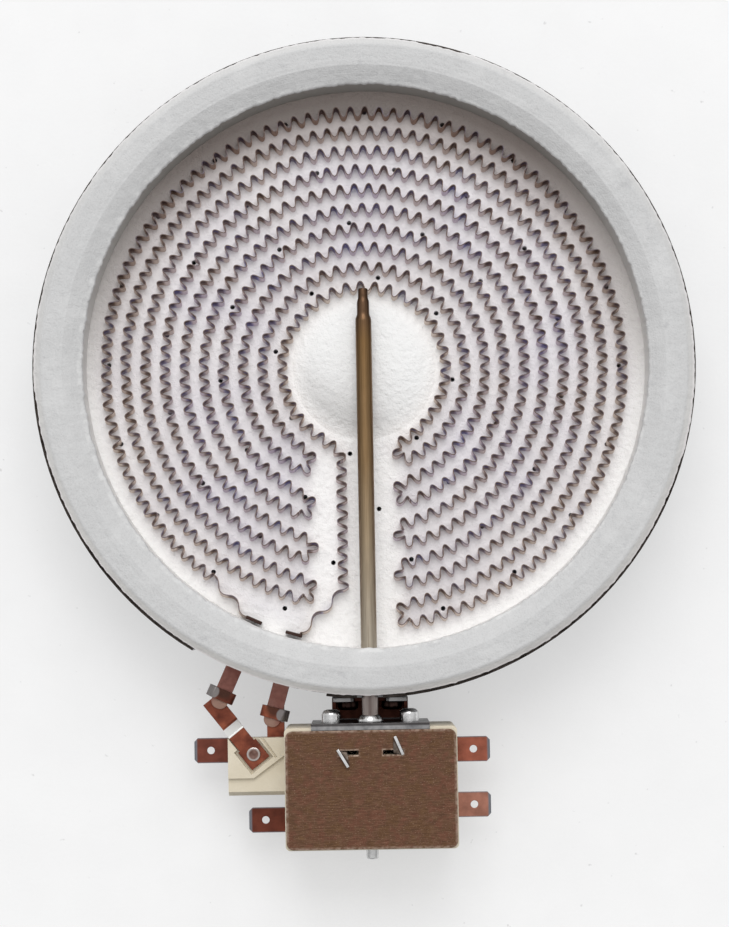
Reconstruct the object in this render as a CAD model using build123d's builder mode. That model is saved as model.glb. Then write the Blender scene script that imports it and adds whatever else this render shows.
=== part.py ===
"""Radiant hob heater: a steel dish of insulation with a corrugated ribbon, and a rod limiter on its rim.

Millimetres. The dish stands on z = 0 with its axis on Z, and the limiter points along -Y.
"""

import os
from math import acos, atan2, cos, degrees, hypot, radians, sin

from build123d import *

# Dish and insulation
DISH_RADIUS = 82.5
DISH_HEIGHT = 27.0
DISH_SHEET = 0.6
DISH_CORNER = 3.0
FIT_GAP = 0.2
FLOOR_Z = 19.0
DOME_RADIUS = 18.0
DOME_HEIGHT = 3.0
RING_INNER_RADIUS = 70.4
RING_TOP_INNER_RADIUS = 74.1
RING_TOP_OUTER_RADIUS = 79.5
RING_HEIGHT = 12.0
RING_INNER_CHAMFER = 2.0
RING_OUTER_CHAMFER = 2.4
LEAD_NOTCH_ANGLES = (238.0, 262.5)
LEAD_NOTCH_Z = 9.0
# Rows of pin holes in the insulation: radius, number of holes, angle of the first
PIN_ROWS = ((64.2, 20, 17.0), (50.2, 16, 12.7), (36.3, 12, 5.0), (22.5, 8, 35.0))
PIN_CENTRE = (0.0, 0.7)
PIN_HOLE_RADIUS = 0.6
PIN_HOLE_DEPTH = 8.0

# Heating ribbon
TRACKS = 10
TRACK_PITCH = 4.92
OUTER_TRACK_RADIUS = 64.8
RIBBON_THICKNESS = 0.35
RIBBON_HEIGHT = 4.5
RIBBON_PROUD = 2.5
HALF_WAVE = 1.795
WAVE_HEIGHT = 1.25
TURN_WAVE_HEIGHT = 1.1
TAIL_HALF_WAVE = 4.0
TAIL_WAVE_HEIGHT = 0.9
RIGHT_TURN_X = 10.2
LEFT_TURN_X = -16.0
RUN_X = -5.5
RUN_END_Y = -54.0
INNER_TRACK_END = 232.0
OUTER_TRACK_END = 233.0
BEND_RADIUS = 4.0

# Heater leads
LEAD_ANGLES = {"a": 245.5, "b": 254.3}
LEAD_WIDTH = 4.2
SHEET = 0.8
LEAD_Z = 13.6
LEAD_INNER_RADIUS = 68.6
LEAD_OUTER_RADIUS = 93.2
LEAD_TAB_TOP = 22.0

# Sensing tube and push rod
TUBE_Z = 25.0
TUBE_RADIUS = 2.0
TUBE_BORE_RADIUS = 1.45
TUBE_NECK_RADIUS = 1.53
TUBE_TIP_RADIUS = 1.2
TUBE_TIP_Y = 19.5
TUBE_NECK_Y = 16.4
TUBE_SHOULDER_Y = 12.3
ROD_RADIUS = 1.15
ROD_TRAVEL = 0.7

# Limiter housing
HOUSING_HALF_WIDTH = 21.3
HOUSING_FRONT_Y = -89.5
HOUSING_BACK_Y = -119.5
HOUSING_BOTTOM_Z = 5.0
HOUSING_TOP_Z = 29.0
HOUSING_WALL = 3.0
HOUSING_FLOOR = 3.6
FRONT_WALL = 7.6
COVER_SHEET = 1.0
COVER_MARGIN_FRONT = 0.7
COVER_MARGIN = 0.25
COVER_CORNER = 1.8
LUG_X = 5.5
LUG_Y = -95.7
LUG_WIDTH = 4.6
LUG_SHEET = 0.8
LUG_ROOT_Z = 14.0
LUG_POCKET_Z = 20.0
LUG_HEAD_LENGTH = 5.3
LUG_HEAD_HEIGHT = 1.0
# Each twisted lug head: which side it is on, its offset from the lug and the angle it is twisted to
LUG_HEADS = ((-1, (-1.4, -1.3), -59.5), (1, (1.4, 1.7), -67.3))
BLOCK_X = (-35.8, -21.3)
BLOCK_Y = (-106.8, -92.3)
BLOCK_Z = (10.8, 17.0)
# Step across the block's top, from its outer side to the housing, and a groove from its front edge to the step
BLOCK_STEP = ((-36.8, -102.35), (-29.4, -102.35), (-21.3, -96.5))
BLOCK_STEP_DEPTH = 0.9
BLOCK_GROOVE = ((-27.4, -92.0), (-23.7, -97.2))
BLOCK_GROOVE_WIDTH = 0.6

# Bracket and screws
BRACKET_SHEET = 1.0
BRACKET_HALF_WIDTH = 14.6
BRACKET_NECK_HALF_WIDTH = 9.5
BRACKET_FLOOR_Z = 8.0
BRACKET_CHEEK_TOP = 18.0
BRACKET_DISH_FLANGE_TOP = 20.0
BRACKET_TAB_INNER_X = 3.8
BRACKET_TAB_CORNER = 1.2
BRACKET_TAB_ROOT_Z = 17.0
BRACKET_LIP_SHEET = 0.7
BRACKET_LIP_GAP = 0.05
DISH_FLANGE_GAP = 0.1
DISH_SCREW_X = 5.5
DISH_SCREW_Z = 15.0
BODY_SCREW_X = 9.7
BODY_SCREW_Z = 22.0
SCREW_SHANK_RADIUS = 1.4
SCREW_HOLE_RADIUS = 1.5

# Tab terminals
TAB_WIDTH = 6.3
TAB_CORNER = 0.9
TAB_BEVEL = 0.3
TAB_HOLE_RADIUS = 0.95
TAB_HOLE_FROM_TIP = 4.2
LEFT_TAB_Z = 10.0
RIGHT_TAB_Z = 12.0
LINE_TAB_Y = -113.3
LINE_TAB_TIP_X = -31.0
NEUTRAL_TAB_Y = -95.6
NEUTRAL_TAB_TIP_X = -44.6
SIGNAL_TAB_Y = (-96.2, -110.1)
SIGNAL_TAB_TIP_X = 30.1
RISER_TOP_Z = 27.5
RISER_WIDTH = 5.0

# Switch blades and contacts
BLADE_SHEET = 0.25
BLADE_Z = (22.0, 28.0)
BLADE_ROOT_X = 16.0
BLADE_END_X = 8.5
BLADE_TAIL = 2.0
CONTACT_X = 6.0
CONTACT_RADIUS = 1.6
CONTACT_SHEET = 0.8
LIMIT_BLADE_Y = -98.5
SIGNAL_BLADE_Y = -105.5
TOUCH_GAP = 0.125
WELD_GAP = 0.03

# Link straps
STRAP_WIDTH = 4.6
STRAP_RIVET = (-29.4, -96.4)
STRAP_JOINT = (-40.0, -83.0)
STRAP_HIGH_Z = 15.4
STRAP_B_X = (-26.0, -21.6)
CRIMP_RADIUS = 88.2
CRIMP_LENGTH = 2.8
CRIMP_EAR_RADIUS = 1.3

# Calibration screw
CALIBRATION_RADIUS = 1.5
CALIBRATION_CLEARANCE = 0.05
CALIBRATION_TIP_Y = -122.1
CALIBRATION_END_Y = -106.3
BUSH_RADIUS = 2.8

os.makedirs("parts", exist_ok=True)


def write(piece, name):
    """Label a finished piece and write its STEP file."""
    piece.part.label = name
    export_step(piece.part, f"parts/{name}.step")


def span(x, y, z, mode=Mode.ADD):
    """A box between two values on each axis."""
    centre = (sum(x) / 2, sum(y) / 2, sum(z) / 2)
    with Locations(centre):
        Box(abs(x[1] - x[0]), abs(y[1] - y[0]), abs(z[1] - z[0]), mode=mode)


def rod_along_y(radius, y, at=(0.0, TUBE_Z), mode=Mode.ADD):
    """A round bar along Y between two values of y, at the given x and z."""
    with Locations(Location((at[0], sum(y) / 2, at[1]), (90, 0, 0))):
        Cylinder(radius, abs(y[1] - y[0]), mode=mode)


def polar(radius, angle):
    """The point at a radius and an angle in degrees."""
    return (radius * cos(radians(angle)), radius * sin(radians(angle)))


# Leads: flat strips from the ribbon's ends, out under the ring
def make_lead(angle):
    """An L of strip: an upright tab inside the ring, and a foot that runs out along the radius."""
    along = (cos(radians(angle)), sin(radians(angle)), 0)
    across = (sin(radians(angle)), -cos(radians(angle)), 0)
    with BuildPart() as lead:
        with BuildSketch(Plane((0, 0, 0), x_dir=along, z_dir=across)):
            with BuildLine():
                Polyline(
                    (LEAD_INNER_RADIUS, LEAD_TAB_TOP),
                    (LEAD_INNER_RADIUS + SHEET, LEAD_TAB_TOP),
                    (LEAD_INNER_RADIUS + SHEET, LEAD_Z + SHEET),
                    (LEAD_OUTER_RADIUS, LEAD_Z + SHEET),
                    (LEAD_OUTER_RADIUS, LEAD_Z),
                    (LEAD_INNER_RADIUS, LEAD_Z),
                    close=True,
                )
            make_face()
        extrude(amount=LEAD_WIDTH / 2, both=True)
        far_corners = lead.edges().filter_by(Axis.Z).sort_by(
            lambda edge: hypot(edge.center().X, edge.center().Y)
        )[-2:]
        fillet(far_corners, LEAD_WIDTH * 0.45)
    return lead


leads = {key: make_lead(angle) for key, angle in LEAD_ANGLES.items()}
for key, lead in leads.items():
    write(lead, f"lead_strip_{key}")

# Dish: a shallow pan of thin sheet, with a notch for the leads and a gap for the sensing tube
with BuildPart() as dish:
    with BuildSketch(Plane.XZ):
        with BuildLine():
            Polyline(
                (0, 0),
                (DISH_RADIUS, 0),
                (DISH_RADIUS, DISH_HEIGHT),
                (DISH_RADIUS - DISH_SHEET, DISH_HEIGHT),
                (DISH_RADIUS - DISH_SHEET, DISH_SHEET),
                (0, DISH_SHEET),
                close=True,
            )
        make_face()
    revolve(axis=Axis.Z)
    rims = dish.edges().filter_by(GeomType.CIRCLE).group_by(Axis.Z)
    fillet(rims[0], DISH_CORNER)
    fillet(rims[1], DISH_CORNER - DISH_SHEET)
    with BuildSketch(Plane.XY.offset(LEAD_NOTCH_Z)):
        with BuildLine():
            reach = DISH_RADIUS * 1.1
            Polyline(
                (0, 0), polar(reach, LEAD_NOTCH_ANGLES[0]), polar(reach, LEAD_NOTCH_ANGLES[1]), close=True
            )
        make_face()
    extrude(amount=DISH_HEIGHT, mode=Mode.SUBTRACT)
    tube_gap = TUBE_RADIUS + 1.2
    span((-tube_gap, tube_gap), (-DISH_RADIUS - 1, -70), (TUBE_Z - tube_gap, DISH_HEIGHT + 1), Mode.SUBTRACT)
    for side in (-1, 1):
        rod_along_y(
            SCREW_HOLE_RADIUS, (-DISH_RADIUS - 1, -70), (side * DISH_SCREW_X, DISH_SCREW_Z), Mode.SUBTRACT
        )
write(dish, "dish")

# Base insulation: a pressed white disc with a low dome at its middle, pin holes and slots for the leads
INSULATION_RADIUS = DISH_RADIUS - DISH_SHEET - FIT_GAP
INSULATION_BOTTOM_Z = DISH_SHEET + FIT_GAP / 2
with BuildPart() as base_insulation:
    with BuildSketch(Plane.XZ):
        with BuildLine():
            Polyline(
                (0, FLOOR_Z + DOME_HEIGHT),
                (0, INSULATION_BOTTOM_Z),
                (INSULATION_RADIUS - DISH_CORNER, INSULATION_BOTTOM_Z),
                (INSULATION_RADIUS, INSULATION_BOTTOM_Z + DISH_CORNER),
                (INSULATION_RADIUS, FLOOR_Z),
                (DOME_RADIUS, FLOOR_Z),
            )
            dome_sphere = (DOME_RADIUS**2 + DOME_HEIGHT**2) / (2 * DOME_HEIGHT)
            half_angle = degrees(atan2(DOME_RADIUS, dome_sphere - DOME_HEIGHT))
            CenterArc((0, FLOOR_Z + DOME_HEIGHT - dome_sphere), dome_sphere, 90 - half_angle, half_angle)
        make_face()
    revolve(axis=Axis.Z)
    for row_radius, holes, first_angle in PIN_ROWS:
        with BuildSketch(Plane.XY.offset(FLOOR_Z + DOME_HEIGHT)):
            with Locations(PIN_CENTRE):
                with PolarLocations(row_radius, holes, start_angle=first_angle):
                    Circle(PIN_HOLE_RADIUS)
        extrude(amount=-PIN_HOLE_DEPTH - DOME_HEIGHT, mode=Mode.SUBTRACT)
    for lead in leads.values():
        add(lead.part, mode=Mode.SUBTRACT)
    for side in (-1, 1):
        rod_along_y(SCREW_HOLE_RADIUS, (-DISH_RADIUS, -70), (side * DISH_SCREW_X, DISH_SCREW_Z), Mode.SUBTRACT)
write(base_insulation, "base_insulation")

# Ring insulation: a grey moulded ring, chamfered inside and out, with a hole for the sensing tube
RING_TOP_Z = FLOOR_Z + RING_HEIGHT
with BuildPart() as ring_insulation:
    with BuildSketch(Plane.XZ):
        with BuildLine():
            Polyline(
                (RING_INNER_RADIUS, FLOOR_Z),
                (RING_INNER_RADIUS, RING_TOP_Z - RING_INNER_CHAMFER),
                (RING_TOP_INNER_RADIUS, RING_TOP_Z),
                (RING_TOP_OUTER_RADIUS, RING_TOP_Z),
                (INSULATION_RADIUS, RING_TOP_Z - RING_OUTER_CHAMFER),
                (INSULATION_RADIUS, FLOOR_Z),
                close=True,
            )
        make_face()
    revolve(axis=Axis.Z)
    rod_along_y(TUBE_RADIUS + 0.3, (-DISH_RADIUS - 1, -60), mode=Mode.SUBTRACT)
write(ring_insulation, "ring_insulation")


# Heating ribbon: one corrugated strip that runs back and forth over the tracks, from lead to lead
def arc_piece(centre, radius, start, sweep):
    """An arc of the ribbon's route: a function that gives point and normal at a distance, and its length."""
    way = 1 if sweep > 0 else -1

    def at(distance):
        angle = radians(start) + way * distance / radius
        point = (centre[0] + radius * cos(angle), centre[1] + radius * sin(angle))
        return point, (-way * cos(angle), -way * sin(angle))

    return at, radius * radians(abs(sweep))


def line_piece(start, end):
    """A straight of the ribbon's route, in the same form as an arc."""
    length = hypot(end[0] - start[0], end[1] - start[1])
    ux = (end[0] - start[0]) / length
    uy = (end[1] - start[1]) / length

    def at(distance):
        return (start[0] + ux * distance, start[1] + uy * distance), (-uy, ux)

    return at, length


def turn_angle(mean_radius, turn_x):
    """Angle of the hairpin between two tracks whose middle stands at turn_x, below the dish's centre."""
    return -degrees(acos(turn_x / mean_radius))


def ribbon_route():
    """Pieces of the ribbon's centre line, each with the half wave and wave height it is corrugated with."""
    track = (HALF_WAVE, WAVE_HEIGHT)
    turn = (HALF_WAVE, TURN_WAVE_HEIGHT)
    tail = (TAIL_HALF_WAVE, TAIL_WAVE_HEIGHT)
    radii = [OUTER_TRACK_RADIUS - TRACK_PITCH * i for i in range(TRACKS)]
    lead_a = polar(LEAD_INNER_RADIUS, LEAD_ANGLES["a"] - 1.2)
    lead_b = polar(LEAD_INNER_RADIUS, LEAD_ANGLES["b"] + 1.2)
    route = [(line_piece(lead_a, polar(radii[0], OUTER_TRACK_END)), tail)]
    angle = OUTER_TRACK_END
    for i, radius in enumerate(radii[:-1]):
        mean_radius = radius - TRACK_PITCH / 2
        rightward = i % 2 == 0
        if rightward:
            end = turn_angle(mean_radius, RIGHT_TURN_X)
        else:
            end = 360 + turn_angle(mean_radius, LEFT_TURN_X)
        half_turn = -180 if rightward else 180
        route.append((arc_piece((0, 0), radius, angle, end - angle), track))
        route.append((arc_piece(polar(mean_radius, end), TRACK_PITCH / 2, end, half_turn), turn))
        angle = end
    route.append((arc_piece((0, 0), radii[-1], angle, INNER_TRACK_END - angle), track))
    # The inner end leaves its track, bends down beside the tube and ends at the second lead
    leave = polar(radii[-1], INNER_TRACK_END)
    heading = INNER_TRACK_END + 90 - 360
    ux, uy = cos(radians(heading)), sin(radians(heading))
    straight = (RUN_X - leave[0] - BEND_RADIUS * (1 + uy)) / ux
    bend_start = (leave[0] + straight * ux, leave[1] + straight * uy)
    bend_centre = (RUN_X - BEND_RADIUS, bend_start[1] - BEND_RADIUS * ux)
    route.append((line_piece(leave, bend_start), track))
    route.append((arc_piece(bend_centre, BEND_RADIUS, heading + 90, -heading - 90), track))
    route.append((line_piece((RUN_X, bend_centre[1]), (RUN_X, RUN_END_Y)), track))
    route.append((line_piece((RUN_X, RUN_END_Y), lead_b), tail))
    return route


def fold_points(route):
    """The folds of the strip: its two ends, and a peak on either side of the route at each half wave."""
    first_at = route[0][0][0]
    last_at, last_length = route[-1][0]
    folds = [first_at(0)[0]]
    side = 1
    step = 0.5
    for (at, length), (half_wave, height) in route:
        count = length / half_wave
        while step < count:
            (x, y), (nx, ny) = at(step * half_wave)
            folds.append((x + side * height * nx, y + side * height * ny))
            side = -side
            step += 1
        step -= count
    folds.append(last_at(last_length)[0])
    return folds


def unit(start, end):
    """Unit vector from one point to another."""
    length = hypot(end[0] - start[0], end[1] - start[1])
    return (end[0] - start[0]) / length, (end[1] - start[1]) / length


def strip_outline(folds, thickness):
    """Closed outline of a strip of that thickness, mitred at its folds."""
    left, right = [], []
    for i, (x, y) in enumerate(folds):
        before = unit(folds[i - 1], folds[i]) if i else unit(folds[0], folds[1])
        after = unit(folds[i], folds[i + 1]) if i < len(folds) - 1 else before
        nx, ny = -before[1] - after[1], before[0] + after[0]
        reach = thickness / (nx * nx + ny * ny)
        left.append((x + nx * reach, y + ny * reach))
        right.append((x - nx * reach, y - ny * reach))
    return left + right[::-1]


RIBBON_TOP_Z = FLOOR_Z + RIBBON_PROUD
with BuildPart() as heating_ribbon:
    with BuildSketch(Plane.XY.offset(RIBBON_TOP_Z - RIBBON_HEIGHT)):
        with BuildLine():
            Polyline(*strip_outline(fold_points(ribbon_route()), RIBBON_THICKNESS), close=True)
        make_face()
    extrude(amount=RIBBON_HEIGHT)
write(heating_ribbon, "heating_ribbon")

# Sensing tube: drawn tube, closed and necked down in two steps at its tip
COLLAR_FACE_Y = HOUSING_FRONT_Y + BRACKET_SHEET
TUBE_END_Y = HOUSING_FRONT_Y - 2.0
with BuildPart() as sensor_tube:
    with BuildSketch(Plane((0, 0, TUBE_Z), x_dir=(1, 0, 0), z_dir=(0, 0, 1))):
        with BuildLine():
            Polyline(
                (0, TUBE_TIP_Y),
                (TUBE_TIP_RADIUS, TUBE_TIP_Y),
                (TUBE_TIP_RADIUS, TUBE_NECK_Y + 0.4),
                (TUBE_NECK_RADIUS, TUBE_NECK_Y - 0.4),
                (TUBE_NECK_RADIUS, TUBE_SHOULDER_Y + 0.4),
                (TUBE_RADIUS, TUBE_SHOULDER_Y - 0.6),
                (TUBE_RADIUS, TUBE_END_Y),
                (TUBE_BORE_RADIUS, TUBE_END_Y),
                (TUBE_BORE_RADIUS, TUBE_SHOULDER_Y - 1.0),
                (0, TUBE_SHOULDER_Y - 0.2),
                close=True,
            )
        make_face()
    revolve(axis=Axis((0, 0, TUBE_Z), (0, 1, 0)))
write(sensor_tube, "sensor_tube")

# Tube collar: a flared ferrule that holds the tube to the bracket
with BuildPart() as tube_collar:
    with BuildSketch(Plane((0, 0, TUBE_Z), x_dir=(1, 0, 0), z_dir=(0, 0, 1))):
        with BuildLine():
            Polyline(
                (TUBE_RADIUS, COLLAR_FACE_Y),
                (TUBE_RADIUS + 1.1, COLLAR_FACE_Y),
                (TUBE_RADIUS + 1.1, COLLAR_FACE_Y + 0.7),
                (TUBE_RADIUS + 0.5, COLLAR_FACE_Y + 1.7),
                (TUBE_RADIUS, COLLAR_FACE_Y + 1.9),
                close=True,
            )
        make_face()
    revolve(axis=Axis((0, 0, TUBE_Z), (0, 1, 0)))
write(tube_collar, "tube_collar")

# Push rod: the ceramic rod inside the tube, whose end bears on the first blade
ROD_END_Y = LIMIT_BLADE_Y + BLADE_SHEET / 2 + TOUCH_GAP
with BuildPart() as push_rod:
    rod_along_y(ROD_RADIUS, (ROD_END_Y, TUBE_SHOULDER_Y - 2.2))
    chamfer(push_rod.edges().filter_by(GeomType.CIRCLE), 0.25)
write(push_rod, "push_rod")

# Transfer pin: the ceramic pin that carries the push on from the first blade to the second
with BuildPart() as transfer_pin:
    rod_along_y(
        ROD_RADIUS,
        (LIMIT_BLADE_Y - BLADE_SHEET / 2 - TOUCH_GAP, SIGNAL_BLADE_Y + BLADE_SHEET / 2 + TOUCH_GAP),
    )
    chamfer(transfer_pin.edges().filter_by(GeomType.CIRCLE), 0.25)
write(transfer_pin, "transfer_pin")


# Switch blades: flat springs, welded to a riser at one end, with a contact at the other
def make_blade(blade_y, root_side):
    """A flat spring across the housing, from its root on one side past the rod to its contact."""
    with BuildPart() as blade:
        span(
            (root_side * (BLADE_ROOT_X + BLADE_TAIL), -root_side * BLADE_END_X),
            (blade_y - BLADE_SHEET / 2, blade_y + BLADE_SHEET / 2),
            BLADE_Z,
        )
        free_corners = blade.edges().filter_by(Axis.Y).sort_by(Axis.X)
        fillet(free_corners[-2:] if root_side < 0 else free_corners[:2], 1.5)
    return blade


def make_contact(x, y):
    """A round silver contact between two values of y."""
    with BuildPart() as contact:
        rod_along_y(CONTACT_RADIUS, y, (x, TUBE_Z))
    return contact


LIMIT_BACK_Y = LIMIT_BLADE_Y - BLADE_SHEET / 2
SIGNAL_FACE_Y = SIGNAL_BLADE_Y + BLADE_SHEET / 2
CONTACT_SWING = ROD_TRAVEL * (BLADE_ROOT_X + CONTACT_X) / BLADE_ROOT_X
LIMIT_FIXED_Y = LIMIT_BACK_Y - CONTACT_SHEET - TOUCH_GAP
SIGNAL_FIXED_Y = SIGNAL_FACE_Y + CONTACT_SHEET + CONTACT_SWING + TOUCH_GAP
write(make_blade(LIMIT_BLADE_Y, -1), "limit_blade")
write(make_blade(SIGNAL_BLADE_Y, 1), "signal_blade")
write(make_contact(CONTACT_X, (LIMIT_BACK_Y - CONTACT_SHEET, LIMIT_BACK_Y)), "limit_moving_contact")
write(make_contact(CONTACT_X, (LIMIT_FIXED_Y - CONTACT_SHEET, LIMIT_FIXED_Y)), "limit_fixed_contact")
write(make_contact(-CONTACT_X, (SIGNAL_FACE_Y, SIGNAL_FACE_Y + CONTACT_SHEET)), "signal_moving_contact")
write(make_contact(-CONTACT_X, (SIGNAL_FIXED_Y, SIGNAL_FIXED_Y + CONTACT_SHEET)), "signal_fixed_contact")


# Tab terminals: pressed strips with a push-on tab outside and a riser inside
def tab(tip_x, root_x, tab_y, z):
    """A push-on tab from its bevelled tip to its root, with a detent hole."""
    side = 1 if tip_x > root_x else -1
    with BuildSketch(Plane.XY.offset(z)) as outline:
        with Locations(((tip_x + root_x) / 2, tab_y)):
            Rectangle(abs(tip_x - root_x), TAB_WIDTH)
        tip_corners = outline.vertices().sort_by(Axis.X)
        chamfer(tip_corners[-2:] if side > 0 else tip_corners[:2], TAB_CORNER)
        with Locations((tip_x - side * TAB_HOLE_FROM_TIP, tab_y)):
            Circle(TAB_HOLE_RADIUS, mode=Mode.SUBTRACT)
    extrude(outline.sketch, amount=SHEET)
    tip_edges = edges().filter_by(Axis.Y).sort_by(Axis.X)
    chamfer(tip_edges[-2:] if side > 0 else tip_edges[:2], TAB_BEVEL)


HOUSING_SIDE = HOUSING_HALF_WIDTH
CAVITY_FRONT_Y = HOUSING_FRONT_Y - FRONT_WALL
CAVITY_BACK_Y = HOUSING_BACK_Y + HOUSING_WALL
CAVITY_SIDE = HOUSING_HALF_WIDTH - HOUSING_WALL
CAVITY_FLOOR_Z = HOUSING_BOTTOM_Z + HOUSING_FLOOR
RISER_X = (CONTACT_X - RISER_WIDTH / 2, CONTACT_X + RISER_WIDTH / 2)
BLADE_ROOT = (BLADE_ROOT_X, BLADE_ROOT_X + BLADE_TAIL)
left_sheet = (LEFT_TAB_Z, LEFT_TAB_Z + SHEET)
right_sheet = (RIGHT_TAB_Z, RIGHT_TAB_Z + SHEET)
FOOT = 2.4

line_riser_y = (LIMIT_FIXED_Y - CONTACT_SHEET - SHEET, LIMIT_FIXED_Y - CONTACT_SHEET)
with BuildPart() as line_terminal:
    tab(LINE_TAB_TIP_X, -HOUSING_SIDE, LINE_TAB_Y, LEFT_TAB_Z)
    span((-HOUSING_SIDE, RISER_X[1]), (LINE_TAB_Y - FOOT, LINE_TAB_Y + FOOT), left_sheet)
    span(RISER_X, (LINE_TAB_Y, line_riser_y[1]), left_sheet)
    span(RISER_X, line_riser_y, (LEFT_TAB_Z, RISER_TOP_Z))
write(line_terminal, "line_terminal")

signal_riser_y = (SIGNAL_FIXED_Y + CONTACT_SHEET, SIGNAL_FIXED_Y + CONTACT_SHEET + SHEET)
signal_run_y = (CAVITY_FRONT_Y - 0.4 - FOOT, CAVITY_FRONT_Y - 0.4)
with BuildPart() as signal_fixed_terminal:
    tab(SIGNAL_TAB_TIP_X, CAVITY_SIDE - FOOT, SIGNAL_TAB_Y[0], RIGHT_TAB_Z)
    span((CAVITY_SIDE - FOOT, -RISER_X[1]), signal_run_y, right_sheet)
    span((-RISER_X[1], -RISER_X[0]), (signal_run_y[1], signal_riser_y[0]), right_sheet)
    span((-RISER_X[1], -RISER_X[0]), signal_riser_y, (RIGHT_TAB_Z, RISER_TOP_Z))
write(signal_fixed_terminal, "signal_fixed_terminal")

signal_root_y = (SIGNAL_FACE_Y + WELD_GAP, SIGNAL_FACE_Y + WELD_GAP + SHEET)
with BuildPart() as signal_blade_terminal:
    tab(SIGNAL_TAB_TIP_X, BLADE_ROOT[0], SIGNAL_TAB_Y[1], RIGHT_TAB_Z)
    span(BLADE_ROOT, (SIGNAL_TAB_Y[1], signal_root_y[1]), right_sheet)
    span(BLADE_ROOT, signal_root_y, (RIGHT_TAB_Z, RISER_TOP_Z))
write(signal_blade_terminal, "signal_blade_terminal")

NEUTRAL_ROOT_X = BLOCK_X[1] - 5.5
with BuildPart() as neutral_terminal:
    tab(NEUTRAL_TAB_TIP_X, NEUTRAL_ROOT_X, NEUTRAL_TAB_Y, LEFT_TAB_Z)
    with Locations((*STRAP_RIVET, LEFT_TAB_Z)):
        Cylinder(1.0, 4 * SHEET, mode=Mode.SUBTRACT)
write(neutral_terminal, "neutral_terminal")


# Link straps: strips that join the leads to the limiter, each crimped round its lead
def crimp(key, roll_side):
    """A flat sleeve round a lead, whose two ears are rolled down onto it."""
    angle = LEAD_ANGLES[key]
    seat = Plane(
        (*polar(CRIMP_RADIUS, angle), LEAD_Z + SHEET / 2),
        x_dir=(sin(radians(angle)), -cos(radians(angle)), 0),
        z_dir=(cos(radians(angle)), sin(radians(angle)), 0),
    )
    half = LEAD_WIDTH / 2
    with BuildSketch(seat) as section:
        SlotOverall(LEAD_WIDTH + 2.4, 3 * SHEET)
        with Locations((roll_side * (half + 0.5), 0.9 * SHEET)):
            Circle(CRIMP_EAR_RADIUS)
        with Locations((-roll_side * half * 0.5, 0.9 * SHEET)):
            Circle(CRIMP_EAR_RADIUS * 0.8)
        Rectangle(LEAD_WIDTH, SHEET, mode=Mode.SUBTRACT)
    extrude(section.sketch, amount=CRIMP_LENGTH)


strap_vector = (STRAP_JOINT[0] - STRAP_RIVET[0], STRAP_JOINT[1] - STRAP_RIVET[1])
strap_length = hypot(*strap_vector)
strap_along = (strap_vector[0] / strap_length, strap_vector[1] / strap_length, 0)
strap_across = (strap_along[1], -strap_along[0], 0)
strap_plane = Plane((*STRAP_RIVET, 0), x_dir=strap_along, z_dir=strap_across)
STRAP_LOW_Z = LEAD_Z - SHEET
STRAP_PAD = (-2.9, 2.7)
STRAP_PAD_WIDTH = 5.6
STRAP_BEND = (6.9, 9.7)
STRAP_A_LENGTH = 17.5
with BuildPart() as link_strap_a:
    with BuildSketch(strap_plane):
        with BuildLine():
            Polyline(
                (STRAP_PAD[0], STRAP_HIGH_Z),
                (STRAP_BEND[0], STRAP_HIGH_Z),
                (STRAP_BEND[1], STRAP_LOW_Z),
                (STRAP_A_LENGTH, STRAP_LOW_Z),
                (STRAP_A_LENGTH, STRAP_LOW_Z + SHEET),
                (STRAP_BEND[1] + 0.3, STRAP_LOW_Z + SHEET),
                (STRAP_BEND[0] + 0.3, STRAP_HIGH_Z + SHEET),
                (STRAP_PAD[0], STRAP_HIGH_Z + SHEET),
                close=True,
            )
        make_face()
    extrude(amount=STRAP_WIDTH / 2, both=True)
    with BuildSketch(strap_plane):
        with Locations((sum(STRAP_PAD) / 2, STRAP_HIGH_Z + SHEET / 2)):
            Rectangle(STRAP_PAD[1] - STRAP_PAD[0], SHEET)
    extrude(amount=STRAP_PAD_WIDTH / 2, both=True)
    crimp("a", 1)
    with Locations((*STRAP_RIVET, STRAP_HIGH_Z)):
        Cylinder(1.0, 4 * SHEET, mode=Mode.SUBTRACT)
write(link_strap_a, "link_strap_a")

limit_root_y = (LIMIT_BLADE_Y + BLADE_SHEET / 2 + WELD_GAP, LIMIT_BLADE_Y + BLADE_SHEET / 2 + WELD_GAP + SHEET)
strap_sheet = (STRAP_LOW_Z, STRAP_LOW_Z + SHEET)
STRAP_B_RUN_Y = (limit_root_y[0], limit_root_y[0] + FOOT)
with BuildPart() as link_strap_b:
    span(STRAP_B_X, (STRAP_B_RUN_Y[0], -84.2), strap_sheet)
    span((STRAP_B_X[0], -BLADE_ROOT[0]), STRAP_B_RUN_Y, strap_sheet)
    span((-BLADE_ROOT[1], -BLADE_ROOT[0]), limit_root_y, (STRAP_LOW_Z, RISER_TOP_Z))
    crimp("b", -1)
write(link_strap_b, "link_strap_b")

# Strap rivet: through the strap, the ceramic block and the tab below it
with BuildPart() as strap_rivet:
    with Locations((*STRAP_RIVET, (LEFT_TAB_Z + STRAP_HIGH_Z + SHEET) / 2)):
        Cylinder(1.0, STRAP_HIGH_Z + SHEET - LEFT_TAB_Z)
    with Locations((*STRAP_RIVET, STRAP_HIGH_Z + SHEET + 0.25), (*STRAP_RIVET, LEFT_TAB_Z - 0.25)):
        Cylinder(1.75, 0.5)
write(strap_rivet, "strap_rivet")

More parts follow.
